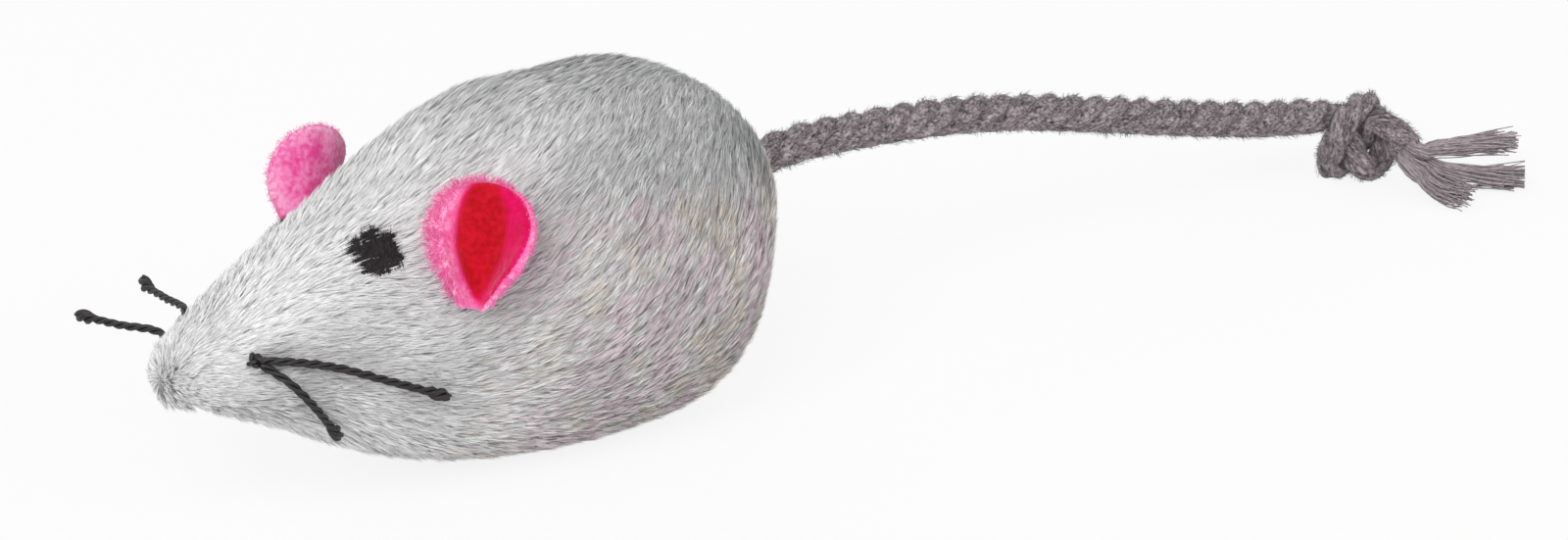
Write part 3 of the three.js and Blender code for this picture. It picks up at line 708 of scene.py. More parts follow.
def fibre_tree():
    tree, wire, given = new_tree("short fibres", FIBRE_INPUTS)
    place = wire.place()
    x = wire.split(place)[0]
    past_start = wire.number("GREATER_THAN", x, given["From"])
    within = wire.times(past_start, wire.number("LESS_THAN", x, given["To"]))
    tufts = wire.first(
        "GeometryNodeDistributePointsOnFaces",
        {"Mesh": given["Surface"], "Density": given["Tufts per area"], "Seed": given["Tuft seed"]},
    )
    points, normal = wire.add(
        "GeometryNodeDistributePointsOnFaces",
        {
            "Mesh": given["Surface"],
            "Selection": within,
            "Density": wire.times(given["Fibres per area"], wire.read("cover")),
            "Seed": given["Root seed"],
        },
    ).outputs[:2]
    nearest = wire.first("GeometryNodeSampleNearest", {0: tufts, 1: place}, domain="POINT")
    tuft_place = wire.first(
        "GeometryNodeSampleIndex", {0: tufts, 1: place, 2: nearest}, data_type="FLOAT_VECTOR", domain="POINT"
    )

    def spread(label, seed, key=None):
        return wire.chance(wire.times(given[label], -1), given[label], seed, key)

    own_turn = wire.times(spread("Turn spread", 12), OWN_TURN_SHARE)
    turn = wire.plus(spread("Turn spread", 11, nearest), own_turn)
    own_lift = wire.times(spread("Lift spread", 14), OWN_LIFT_SHARE)
    varied_lift = wire.plus(spread("Lift spread", 13, nearest), own_lift)
    lift = wire.plus(wire.plus(given["Lift"], wire.read("stand")), varied_lift)
    length = wire.times(wire.times(given["Length"], wire.read("length")), wire.chance(*LENGTH_SHARES, 15))
    lay = wire.turned(wire.read_vector("lay"), normal, turn)
    side = wire.vector("NORMALIZE", wire.vector("CROSS_PRODUCT", lay, normal))
    lay = wire.vector("CROSS_PRODUCT", normal, side)
    gathered = wire.times(given["Gathering"], wire.read("length"))
    rolled = wire.turned(side, lay, wire.chance(-ROLL, ROLL, 16))
    ways = {
        "run": wire.scaled(lay, wire.times(length, wire.number("COSINE", lift))),
        "rise": wire.scaled(normal, wire.times(length, wire.number("SINE", lift))),
        "gather": wire.scaled(wire.vector("SUBTRACT", tuft_place, place), gathered),
        "half": wire.scaled(rolled, wire.times(given["Width"], 0.5)),
        "root": place,
    }
    # A few fibres are darkened as painted shade of the pile's gaps
    gap = wire.number("POWER", wire.chance(0, 1, 20), GAP_SHADE_RARITY)
    varied = wire.plus(spread("Tuft tone", 17, nearest), spread("Fibre tone", 18))
    varied = wire.number("MULTIPLY_ADD", gap, -GAP_SHADE_TONE, varied)
    liveliness = wire.number("SUBTRACT", 1, wire.read("calm"))
    tone = wire.number("MULTIPLY_ADD", varied, liveliness, wire.read("tone"), clamp=True)
    own_hue = wire.chance(-HUE_SPREAD, HUE_SPREAD, 19, nearest)
    hue = wire.number("MULTIPLY_ADD", wire.read("tint"), own_hue, wire.read("hue"), clamp=True)
    for name, value in ways.items():
        points = wire.store(points, name, value, "FLOAT_VECTOR")
    points = wire.store(wire.store(points, "tone", tone), "fibre hue", hue)
    blades = wire.first("GeometryNodeInstanceOnPoints", {"Points": points, "Instance": fibre_blade(wire)})
    blades = bend_blades(wire, wire.real(blades))
    wire.finish(map_blades(wire, blades), given["Material"])
    return tree


fibres = fibre_tree()


def grow_fibres(name, surface, body, slot, material, values):
    made = grown(name, surface, fibres, {**FIBRE_DEFAULTS, **values, "Material": material})
    keep = {"position", "OFBake", "material_index", "sharp_face"}
    for label in [a.name for a in made.data.attributes if a.name not in keep and not a.name.startswith(".")]:
        made.data.attributes.remove(made.data.attributes[label])
    return dress(made, body, slot)


def grow_fuzz(name, surface, body, slot, material):
    values = dict(zip(FUZZ_INPUTS, FUZZ[slot]))
    return grow_fibres(name, surface, body, slot, material, {**values, "Fibre tone": FUZZ_TONE})


def fuzz_surface(mesh, lay, cover=1, length=1, tone=0.6):
    """A copy of a mesh for loose fibres to grow on"""
    surface = mesh.copy()
    same = np.ones(len(surface.vertices))
    add_attributes(
        surface,
        lay=lay * same[:, None],
        cover=cover * same,
        length=length * same,
        tone=tone * same,
        tint=same,
        hue=0.5 * same,
    )
    return surface


# Threads: one tree twists plies round any number of paths

THREAD_INPUTS = {
    "Paths": "Geometry",
    "Plies": "Int",
    "Lay": "Float",
    "Ply offset": "Float",
    "Ply radius": "Float",
    "Sides": "Int",
    "Material": "Material",
}
STRAND_PHASE_SHARE = 0.37


def thread_tree():
    tree, wire, given = new_tree("twisted plies", THREAD_INPUTS)
    curves = wire.first("GeometryNodeMeshToCurve", {0: given["Paths"]})
    values = {0: curves, "Amount": given["Plies"]}
    copies = wire.add("GeometryNodeDuplicateElements", values, domain="SPLINE").outputs
    curves = wire.store(copies[0], "ply", copies[1])
    start = wire.number("DIVIDE", wire.read("ply"), given["Plies"])
    turn = wire.number("SUBTRACT", start, wire.number("DIVIDE", wire.read("walked"), given["Lay"]))
    turn = wire.times(turn, math.tau)
    away = wire.times(wire.read("thickness"), given["Ply offset"])
    sideways = wire.scaled(wire.read_vector("side"), wire.times(away, wire.number("COSINE", turn)))
    upward = wire.scaled(wire.read_vector("up"), wire.times(away, wire.number("SINE", turn)))
    shift = wire.vector("ADD", sideways, upward)
    curves = wire.first("GeometryNodeSetPosition", {0: curves, "Offset": shift})
    circle = wire.first("GeometryNodeCurvePrimitiveCircle", {"Resolution": given["Sides"], "Radius": 1})
    circle = wire.store(circle, "round", wire.place(), "FLOAT_VECTOR")
    radius = wire.times(wire.read("thickness"), given["Ply radius"])
    sweep = {"Curve": curves, "Profile Curve": circle, "Scale": radius, "Fill Caps": True}
    wire.finish(wire.real(wire.first("GeometryNodeCurveToMesh", sweep)), given["Material"])
    return tree


threads = thread_tree()


def thread(name, kind, strands, material, pressed=1.0):
    """Threads along paths: strands are pairs of points and radii, and pressed plies swell into each other"""
    plies, lay, sides = THREADS[kind]
    columns, edges, count = [], [], 0
    for number, (points, radii) in enumerate(strands):
        walked = walked_along(points) + number * STRAND_PHASE_SHARE * lay
        columns.append((points, np.broadcast_to(radii, len(points)), walked, *frames_along(points)))
        edges += [(count + i, count + i + 1) for i in range(len(points) - 1)]
        count += len(points)
    corners, thickness, walked, side, up = (np.concatenate(parts) for parts in zip(*columns))
    paths = mesh_of(name, corners, [], edges, thickness=thickness, walked=walked, side=side, up=up)
    half_turn = math.sin(math.pi / plies)
    packed = pressed * half_turn / (1 + half_turn) if plies > 1 else 1.0
    values = {
        "Plies": plies,
        "Lay": lay,
        "Ply offset": 1.0 - packed,
        "Ply radius": packed,
        "Sides": sides,
        "Material": material,
    }
    return grown(name, paths, threads, values)


# Materials

# Colours, from dark to light
CREAM = ("a59d94", "fff5ec")
NEUTRAL = ("9b9c9c", "ffffff")
LILAC = ("a4979d", "ffeef4")
MAUVE = ("5d5257", "ab9fa4")
GREEN_GREY = ("4f524d", "9da199")
PALE_ROSE = ("80757a", "c9bcc1")
PINK = ("ee4a9c", "ffb0d8")
PALE_PINK = ("f57fbc", "ffd0e8")
HOT = ("f0469a", "ff92c8")
PALE = ("f269b0", "ffbfe0")
CRIMSON = ("ac0312", "cc0a28")
MAGENTA = ("c80046", "e20062")
BLACKS = (("151013", "574c52"), ("0d0b0c", "3d393b"), ("121512", "4c534e"))


def new_material(name, roughness, specular=0.3, sheen=0.0):
    material = bpy.data.materials.new(name)
    material.use_nodes = True
    shader = material.node_tree.nodes["Principled BSDF"]
    shader.inputs["Roughness"].default_value = roughness
    shader.inputs["Specular IOR Level"].default_value = specular
    shader.inputs["Sheen Weight"].default_value = sheen
    return material, Wiring(material.node_tree), shader


def colour(hex_code):
    """A colour written as on screen, made linear"""
    parts = [int(hex_code[i:i + 2], 16) / 255 for i in (0, 2, 4)]
    return [*(((p + 0.055) / 1.055) ** 2.4 if p > 0.04 else p / 12.92 for p in parts), 1]


def pattern_group(name, kinds):
    """A group of shader nodes that gives a tone and a height"""
    tree = bpy.data.node_groups.new(name, "ShaderNodeTree")
    sockets_for(tree, "INPUT", kinds)
    sockets_for(tree, "OUTPUT", {"Tone": "Float", "Height": "Float"})
    wire = Wiring(tree)
    return tree, wire, wire.add("NodeGroupInput").outputs


def streaks_group():
    """Fine fibres that run along a thread"""
    kinds = {"Round": "Vector", "Walked": "Float", "Ply": "Float", "Fineness": "Float", "Stretch": "Float"}
    tree, wire, given = pattern_group("thread streaks", kinds)
    x, y, _ = wire.split(given["Round"])
    z = wire.number("MULTIPLY_ADD", given["Ply"], 7.3, wire.times(given["Walked"], given["Stretch"]))
    place = wire.joined(x, y, z)
    fine = wire.first("ShaderNodeTexNoise", {"Vector": place, "Scale": given["Fineness"], "Detail": 3})
    broad = wire.first("ShaderNodeTexNoise", {"Vector": place, "Scale": 1.3, "Detail": 2})
    tone = wire.plus(wire.times(fine, 0.6), wire.times(broad, 0.4))
    wire.add("NodeGroupOutput", {"Tone": tone, "Height": fine})
    return tree


def flecks_group():
    """Matted fibres that lie every way"""
    kinds = {"Place": "Vector", "Scale": "Float", "Warp": "Float"}
    tree, wire, given = pattern_group("matted flecks", kinds)
    values = {"Vector": given["Place"], "Scale": wire.times(given["Scale"], 0.4)}
    bend = wire.add("ShaderNodeTexNoise", values).outputs["Color"]
    bent = wire.vector("ADD", given["Place"], wire.scaled(bend, given["Warp"]))
    fine = wire.first("ShaderNodeTexNoise", {"Vector": bent, "Scale": given["Scale"], "Detail": 4})
    broad = wire.first("ShaderNodeTexNoise", {"Vector": bent, "Scale": wire.times(given["Scale"], 0.25)})
    tone = wire.plus(wire.times(fine, 0.55), wire.times(broad, 0.45))
    wire.add("NodeGroupOutput", {"Tone": wire.between(tone, 0.35, 0.65), "Height": fine})
    return tree


streaks_tree = streaks_group()
flecks_tree = flecks_group()


def attribute(wire, name, output="Fac"):
    return wire.add("ShaderNodeAttribute", attribute_name=name).outputs[output]


def matted_flecks(wire, scale, warp):
    place = wire.add("ShaderNodeTexCoord").outputs["Object"]
    values = {"Place": place, "Scale": scale, "Warp": warp}
    return wire.add("ShaderNodeGroup", values, node_tree=flecks_tree).outputs


def finish_surface(wire, shader, base, height, depth, strength=0.8):
    wire.tree.links.new(base, shader.inputs["Base Color"])
    bump = wire.first("ShaderNodeBump", {"Height": height, "Strength": strength, "Distance": depth})
    wire.tree.links.new(bump, shader.inputs["Normal"])


def thread_material(name, dark, light, roughness, fineness=2.5, stretch=900.0, depth=THREAD_BUMP, **shine):
    material, wire, shader = new_material(name, roughness, **shine)
    values = {
        "Round": attribute(wire, "round", "Vector"),
        "Walked": attribute(wire, "walked"),
        "Ply": attribute(wire, "ply"),
        "Fineness": fineness,
        "Stretch": stretch,
    }
    streaks = wire.add("ShaderNodeGroup", values, node_tree=streaks_tree).outputs
    base = wire.mixed(wire.between(streaks["Tone"], 0.32, 0.66), colour(dark), colour(light))
    finish_surface(wire, shader, base, streaks["Height"], depth)
    return material


def matted_material(name, dark, light, scale, depth=MATTED_BUMP):
    material, wire, shader = new_material(name, 0.95, specular=0.15, sheen=0.2)
    flecks = matted_flecks(wire, scale, FLECK_BEND)
    base = wire.mixed(flecks["Tone"], colour(dark), colour(light))
    finish_surface(wire, shader, base, flecks["Height"], depth)
    return material


def fibre_material(name, root, hues):
    """Short fibres: tone across the map, three hues in its rows, and root to tip up each row, from a root
    colour that is painted shade deep among the fibres
    """
    material, wire, shader = new_material(name, 0.9, specular=0.2, sheen=0.15)
    u, v, _ = wire.split(wire.first("ShaderNodeUVMap", uv_map="OFBake"))
    rows = wire.times(v, HUE_ROWS)
    hue = wire.number("DIVIDE", wire.number("FLOOR", rows), HUE_ROWS - 1)
    first, middle, last = (wire.mixed(u, colour(dark), colour(light)) for dark, light in hues)
    tip = wire.mixed(wire.times(hue, 2), first, middle)
    tip = wire.mixed(wire.number("MULTIPLY_ADD", hue, 2, -1), tip, last)
    # The root colour is painted shade deep among the fibres
    base = wire.mixed(wire.between(wire.number("FRACT", rows), ROW_MARGIN, 0.65), colour(root), tip)
    wire.tree.links.new(base, shader.inputs["Base Color"])
    return material


def felt_material():
    """Pink felt, paler toward its edge, with a crimson middle of painted shade inside the cup that is
    magenta, as painted light, at its right and its border
    """
    material, wire, shader = new_material("pink felt", 0.95, specular=0.1, sheen=0.3)
    flecks = matted_flecks(wire, 2200.0, FELT_FLECK_BEND)
    tone = flecks["Tone"]
    ragged = wire.number("MULTIPLY_ADD", tone, FELT_RAGGED, -FELT_RAGGED / 2)
    edge, warm, inside = (wire.plus(attribute(wire, name), ragged) for name in ("edge", "crimson", "core"))
    hot, pale, crimson, magenta = (
        wire.mixed(tone, colour(dark), colour(light)) for dark, light in (HOT, PALE, CRIMSON, MAGENTA)
    )
    rim = wire.mixed(wire.between(edge, 0.1, 1.8), pale, hot)
    # Crimson is painted shade deep in the cup; magenta is painted light on its lit inside at the right, and
    # the softer edge of the shade at its border
    core = wire.mixed(wire.between(warm, -0.5, 0.5), magenta, crimson)
    shade_border = wire.mixed(wire.between(inside, -1.0, 0.1), rim, magenta)
    base = wire.mixed(wire.between(inside, -0.25, 0.4), shade_border, core)
    finish_surface(wire, shader, base, flecks["Height"], COARSE_BUMP, strength=0.9)
    return material


# Finishes

pile = fibre_material("plush pile", "b2b0b1", (CREAM, NEUTRAL, LILAC))
# The backing's grey is made darker as painted shade in the gaps between the pile's fibres
shaded_backing = matted_material("plush backing", "868586", "adacac", 1200.0)
gather_thread = thread_material("gather thread", "9d9b9c", "d0cecf", 0.9)
cotton = thread_material("rope cotton", "2c2428", "bcb0b5", 0.95, fineness=4.0, depth=COARSE_BUMP, sheen=0.2)
frayed = thread_material("frayed cotton", "61575b", "cbbfc3", 0.95, sheen=0.2)
rope_fuzz = fibre_material("rope fuzz", "4d4448", (GREEN_GREY, MAUVE, PALE_ROSE))
felt = felt_material()
felt_fuzz = fibre_material("felt fuzz", "ee4f9f", (PINK, PINK, PALE_PINK))
# Grey streaks in the black yarn and its fuzz are partly paler fibres and partly painted highlights
yarn = thread_material("black yarn", "010001", "413a3e", 0.8, 3.0, 1500.0, SMOOTH_BUMP, sheen=0.1)
yarn_fuzz = fibre_material("yarn fuzz", "0b090a", BLACKS)
waxed = thread_material("waxed thread", "050404", "2c2829", 0.5, 2.5, 1200.0, SMOOTH_BUMP, specular=0.4)
pink_thread = matted_material("felt thread", "c94f8b", "f08ec0", 3000.0, SMOOTH_BUMP)
INNER_FINISHES = {
    "stuffing": matted_material("fibre fill", "dcdbd5", "f8f7f2", 900.0),
    "catnip_fill": matted_material("dried catnip", "4a5228", "8c9358", 1400.0, HERB_BUMP),
    "belly_seam_thread": matted_material("seam thread", "b4b1b2", "d6d3d4", 3000.0, SMOOTH_BUMP),
    "whisker_cross_thread": matted_material("inner whisker thread", "0d0c0c", "2b2829", 3000.0, SMOOTH_BUMP),
    "tail_inner_knot": matted_material("inner rope knot", "5f5559", "9c9296", 1800.0, COARSE_BUMP),
    "ear_tack_left": pink_thread,
    "ear_tack_right": pink_thread,
}


# Tail rope, knot and frayed end

def tail_paths():
    pivot = np.array([BODY_LENGTH - NOSE_TO_ORIGIN - MOUTH_BEHIND_TIP, 0, RUMP_HEIGHT])
    rope = curve_through([pivot, *ROPE_ROUTE])
    end = rope(1.0)
    forward = unit(end - rope(0.999))
    start = end + forward * CLEARANCE
    lead = start + forward * ROPE_DIAMETER / 2
    middle_height = KNOT_LOOP_HEIGHT - KNOT_TOP + KNOT_SOLID_DIAMETER / 2 - KNOT_TABLE_CUT
    turn = Matrix.Rotation(math.radians(KNOT_TURN), 3, "Z")
    loop = [
        turn @ Vector(
            (
                KNOT_LOBE_HALF_WIDTH * (time ** 3 - 3 * time) / 2,
                KNOT_CROSSING_DEPTH * depth,
                KNOT_TOP + KNOT_LOOP_HEIGHT * (time ** 4 - 4 * time ** 2) / 4,
            )
        ) + Vector((*KNOT_PLACE, middle_height))
        for time, depth in zip(KNOT_TIMES, KNOT_DEPTHS)
    ]
    knot = curve_through([start, lead, *loop, *KNOT_EXIT])
    return evenly(rope, ROPE_STEPS), evenly(knot, KNOT_STEPS)


def make_rope(rope, knot):
    """The twisted rope with its knot, and the path through both"""
    from_end = walked_along(knot)
    from_end = np.minimum(from_end, from_end[-1] - from_end)
    drawn = smoothstep(from_end, 0, ROPE_DIAMETER)
    knot_radius = (ROPE_DIAMETER + (KNOT_DIAMETER - ROPE_DIAMETER) * drawn) / 2
    path = np.vstack([rope, knot[1:]])
    radii = np.concatenate([np.full(len(rope), ROPE_DIAMETER / 2), knot_radius[1:]])
    made = thread("tail_rope_twisted", "rope", [(path, radii)], cotton, pressed=ROPE_PRESSED)
    for corner in made.data.vertices:
        corner.co.z = max(corner.co.z, HAIR_OVER_TABLE)
    return dress(made, "tail", "rope", "tail_rope", "tail_knot"), path


def frayed_strand(centre, spread):
    """One loose strand of a ply: its points and radii"""
    sideways, upward = frames_along(centre)
    share = np.linspace(0, 1, len(centre))
    angle = random.uniform(0, math.tau) + 1.5 * share
    away = math.sqrt(random.uniform(0, 1)) * spread
    wave = FIBRE_WAVE * np.sin(share * random.uniform(6, 16) + random.uniform(0, 6))
    flare = random.normal(0, FIBRE_FLARE, 2)[:, None] * share[None, :] ** 3
    points = (
        centre
        + sideways * ((away + wave) * np.cos(angle) + flare[0])[:, None]
        + upward * ((away + wave) * np.sin(angle) + flare[1])[:, None]
    )
    last = int(len(centre) * random.uniform(0.8, 1.0))
    points = points[:last + 1]
    points[:, 2] = np.maximum(points[:, 2], HAIR_OVER_TABLE + FIBRE_DIAMETER)
    thinning = np.interp(share[:len(points)], [0, 0.8, 1], [1, 0.9, 0.6])
    return points, FIBRE_DIAMETER * thinning * random.uniform(0.7, 1.2)


def make_fray(name, turn, end, forward):
    """One ply of the rope, opened into loose strands past the knot"""
    side = unit(np.cross(forward, (0, 0, 1)))
    up = np.cross(side, forward)
    root = end + CLEARANCE * forward + PLY_ROOT_SPREAD * (math.sin(turn) * up - math.cos(turn) * side)
    at_root, at_middle, at_tip = (diameter * MM / 2 for diameter in PLY_DIAMETERS[name])
    route = np.array(PLY_ROUTES[name]) * MM
    curve = curve_through([end - forward * ROPE_DIAMETER, root + at_root * forward, *route])
    centre = evenly(curve, FRAY_STEPS)
    radii = [0.5 * at_root, at_root, at_middle, at_tip]
    spread = np.interp(np.linspace(0, 1, FRAY_STEPS), [0, 0.25, 0.6, 1], radii)
    strands = [frayed_strand(centre, spread) for _ in range(FIBRES_PER_PLY)]
    made = thread("tail_fray_" + name, "fray", strands, frayed)
    return dress(made, "tail", "rope", "tail_strand_" + name)


def make_tail():
    rope, knot = tail_paths()
    rope_piece, path = make_rope(rope, knot)
    forward = unit(knot[-1] - knot[-2])
    tufts = [
        make_fray(name, math.radians(PLY_FIRST_TURN + 120 * index), knot[-1], forward)
        for index, name in enumerate(PLY_ROUTES)
    ]
    along_path = unit(np.gradient(path, axis=0))
    lay = along_path[nearest_of(path, corners_of(rope_piece.data))]
    fuzz = grow_fuzz("tail_rope_fuzz", fuzz_surface(rope_piece.data, lay), "tail", "rope", rope_fuzz)
    tuple(path[0])
    [tuple(point) for point in path[::4]]


# Plush body: cloth and pile

def cloth_grid():
    """The cloth's corners in rings from nose to rump, then its tips, with their ways and angles"""
    ways = (1 - np.cos(np.linspace(0, math.pi, CLOTH_RINGS + 2)[1:-1])) / 2
    ways = ways[np.min(half_sizes(ways), axis=1) > CLOTH_LEAST_RADIUS]
    degrees = np.linspace(-180, 180, CLOTH_SIDES, endpoint=False)
    way_grid, degree_grid = np.meshgrid(ways, degrees, indexing="ij")
    drawn_in = smoothstep(way_grid, 0.8, 0.92) * smoothstep(np.sin(np.radians(degree_grid)), -0.4, 0.4)
    drawn_in *= fading(way_grid, 0.94, 0.965)
    rings = body_point(way_grid, degree_grid, -PILE_DEPTH - RUMP_DRAWN_IN * drawn_in).reshape(-1, 3)
    nose_tip = [-NOSE_TO_ORIGIN + PILE_DEPTH, 0, NOSE_HEIGHT]
    rump_tip = [BODY_LENGTH - NOSE_TO_ORIGIN - PILE_DEPTH, 0, RUMP_HEIGHT]
    corners = np.vstack([rings, nose_tip, rump_tip])
    corners[:, 2] = np.maximum(corners[:, 2], CLOTH_OVER_TABLE)
    all_ways = np.concatenate([way_grid.ravel(), [ways[0], ways[-1]]])
    all_degrees = np.concatenate([degree_grid.ravel(), [0, 0]])
    return corners, all_ways, all_degrees


def cloth_faces(rings):
    faces = []
    for ring in range(rings - 1):
        for step in range(CLOTH_SIDES):
            after = (step + 1) % CLOTH_SIDES
            low, high = ring * CLOTH_SIDES, (ring + 1) * CLOTH_SIDES
            faces.append((low + step, high + step, high + after, low + after))
    first, last = rings * CLOTH_SIDES, rings * CLOTH_SIDES + 1
    end = (rings - 1) * CLOTH_SIDES
    for step in range(CLOTH_SIDES):
        after = (step + 1) % CLOTH_SIDES
        faces += [(first, step, after), (last, end + after, end + step)]
    return faces


def pile_lay(ways, degrees, mirrored):
    """The way that the pile lies, brushed up from the way along the body"""
    rear = np.interp(ways, NAP_WAYS, NAP_ANGLES)
    low = smoothstep(mirrored, -90, -25)
    high = (1 - 0.35 * smoothstep(mirrored, 15, 55)) * fading(mirrored, 64, 88)
    brow = BROW_NAP * smoothstep(mirrored, 5, 45) * fading(ways, 0.36, 0.58)
    nap = np.radians((rear * (0.65 + 0.35 * low) + brow) * high)[:, None]
    along, upward, _ = body_frame(ways, degrees)
    handed = np.where(np.abs(degrees) > 90, -1.0, 1.0)[:, None]
    return unit(along * np.cos(nap) + upward * handed * np.sin(nap))


def round_stitches(corners):
    """How full the pile is round the eyes and whisker knots, and how deep in shade it lies there"""
    full, shaded = np.ones(len(corners)), np.zeros(len(corners))
    for side_name, hand in SIDES.items():
        eye = over_pile(EYE_BEHIND_NOSE, EYE_ANGLES[side_name], 0)[0] * [1, hand, 1]
        knot = over_pile(WHISKER_BEHIND_NOSE, WHISKER_ANGLES[side_name], 0)[0] * [1, hand, 1]
        bare, grown_in = (share * EYE_DIAMETER for share in EYE_BARE_SHARES)
        full *= smoothstep(np.linalg.norm(corners - eye, axis=1), bare, grown_in)
        full *= smoothstep(np.linalg.norm(corners - knot, axis=1), *WHISKER_BARE)
        shaded += fading(np.linalg.norm((corners - knot) * WHISKER_SHADE_SHARES, axis=1), *WHISKER_SHADE)
    return full, shaded


def pile_fields(corners, ways, degrees):
    """What the pile reads at each corner of the cloth, with the right side's angles as on the left"""
    cover, shaded = round_stitches(corners)
    at_nose = fading(ways, 0.01, 0.07)
    head = fading(ways, 0.3, 0.62)
    mouth = np.linalg.norm(corners - corners[-1], axis=1)
    cover *= smoothstep(mouth, ROPE_DIAMETER / 2, ROPE_DIAMETER / 2 + MOUTH_BARE_WIDTH)
    cover *= 1 + 0.7 * fading(ways, 0.05, 0.22)
    cover *= 1 + 0.8 * at_nose
    length = (0.64 + 0.36 * smoothstep(ways, 0.0, 0.3)) * (1 - 0.35 * smoothstep(ways, 0.9, 1))
    # The side's tone begins lower on the head than on the rear
    low_edge = 45 * smoothstep(ways, 0.35, 0.55) - 50
    side = smoothstep(degrees, low_edge, low_edge + 30) * fading(degrees, 25, 60)
    # The crown's and rear's tones are partly the pile's own and partly painted light and shade; the low
    # side's and the nose's are painted light, the stitches' painted shade
    parts = {
        "crown": head * smoothstep(degrees, 0, 60),
        "rear": smoothstep(ways, 0.45, 0.85) * smoothstep(degrees, -10, 45),
        "low": fading(degrees, -60, 0),
        "nose": fading(ways, 0.02, 0.12),
        "side": smoothstep(ways, 0.08, 0.25) * side,
        "stitches": shaded,
    }
    tone = PILE_TONE + PATCH_TONE * (soft_noise(corners, TONE_PATCH, 3) - 0.5)
    tone += sum(ADDED_TONES[name] * part for name, part in parts.items())
    border = np.interp(ways, [0.4, 0.95], [36, 8]) + 16 * (soft_noise(corners, BORDER_PATCH, 4) - 0.5)
    tint = smoothstep(ways, 0.34, 0.62) * fading(degrees, border - 6, border + 6)
    hue = 0.5 + 0.3 * tint * (2 * smoothstep(soft_noise(corners, HUE_PATCH, 5), 0.2, 0.6) - 1)
    return {
        "cover": cover,
        "length": length,
        "tone": tone,
        "tint": 0.25 + 0.6 * tint,
        "hue": hue,
        "stand": np.maximum(0.2 * at_nose, 0.08 * smoothstep(-degrees, 15, 50)),
        "calm": 0.55 * head,
    }


def pile_bounds(corners, mesh):
    """Places along the body, between rings of the cloth, that share its area among the pile's pieces"""
    centres = np.array([face.center.x for face in mesh.polygons])
    areas = np.array([face.area for face in mesh.polygons])
    order = np.argsort(centres)
    total = np.cumsum(areas[order])
    places = np.interp(np.linspace(0, total[-1], PILE_PIECES + 1), total, centres[order])
    rings = corners[:-2:CLOTH_SIDES, 0]
    between_rings = (rings[1:] + rings[:-1]) / 2
    inner = [float(between_rings[np.abs(between_rings - place).argmin()]) for place in places[1:-1]]
    return [-1.0, *inner, 1.0]


def make_body():
    corners, ways, degrees = cloth_grid()
    mirrored = np.where(np.abs(degrees) > 90, np.sign(degrees) * 180 - degrees, degrees)
    mesh = mesh_of(
        "plush_cloth",
        corners,
        cloth_faces(len(corners) // CLOTH_SIDES),
        lay=pile_lay(ways, degrees, mirrored),
        **pile_fields(corners, ways, mirrored),
    )
    mesh.materials.append(shaded_backing)
    cloth = object_of("plush_cloth", mesh)
    area = sum(face.area for face in mesh.polygons)
    bounds = pile_bounds(corners, mesh)
    for index in range(PILE_PIECES):
        values = {
            "Fibres per area": HAIR_COUNT / area,
            "Tufts per area": TUFT_COUNT / area,
            "From": bounds[index],
            "To": bounds[index + 1],
            "Root seed": SEED + 1 + index,
        }
        name = "plush_pile_" + str(index + 1)
        grow_fibres(name, mesh.copy(), "mouse", "plush", pile, {**PILE_HAIRS, **values})
    make_gather_thread()
    dress(cloth, "mouse", "plush", "plush_body")


def make_gather_thread():
    """The thread that gathers the plush round the rope, drawn into the pile"""
    ways = np.linspace(0.9, 1, 401)
    way = float(ways[np.abs(half_sizes(ways)[:, 0] - GATHER_RING_RADIUS).argmin()])
    ring = body_point(np.full(GATHER_STEPS, way), np.linspace(0, 360, GATHER_STEPS), -GATHER_DEPTH)
    made = thread("rump_gather", "gather", [(ring, GATHER_DIAMETER / 2)], gather_thread)
    dress(made, "mouse", "seam_thread", "rump_gather_thread")


# Felt ears

def rolled_felt(pose, across, up, through):
    share = up / EAR_HEIGHT
    curl = EAR_BASE_CURL + (pose["top_curl"] * MM - EAR_BASE_CURL) * share
    offset = pose["cup_offset"] * MM * share
    turn = (across - offset) / curl
    radius = curl - through
    return np.stack([offset + radius * np.sin(turn), up, curl - radius * np.cos(turn)], axis=-1)


def ear_frame(pose):
    """The ways across, up and out of an ear on the left side, as columns, and its root"""
    root, _ = over_pile(pose["behind_nose"] * MM, pose["round"], EAR_STAND_OFF)
    out = direction(-90 - pose["yaw"], pose["tilt"])
    up = direction(90 - pose["yaw"], 90 - pose["tilt"])
    across = np.cross(up, out)
    roll = math.radians(pose["roll"])
    turned = across * math.cos(roll) + up * math.sin(roll)
    return np.column_stack([turned, up * math.cos(roll) - across * math.sin(roll), out]), root


def ear_outline():
    turns = np.radians(np.linspace(*EAR_ARC_ENDS, EAR_ARC_STEPS))
    above = EAR_HEIGHT - EAR_WIDEST_HEIGHT
    arc = np.column_stack([EAR_FLAT_WIDTH / 2 * np.cos(turns), EAR_WIDEST_HEIGHT + above * np.sin(turns)])
    base = np.array([EAR_BASE_WIDTH / 2, 0])
    corners = np.vstack([base, arc, -base, base])
    walked = walked_along(corners)
    steps = np.linspace(0, walked[-1], EAR_CORNERS, endpoint=False)
    return np.column_stack([np.interp(steps, walked, corners[:, axis]) for axis in range(2)])


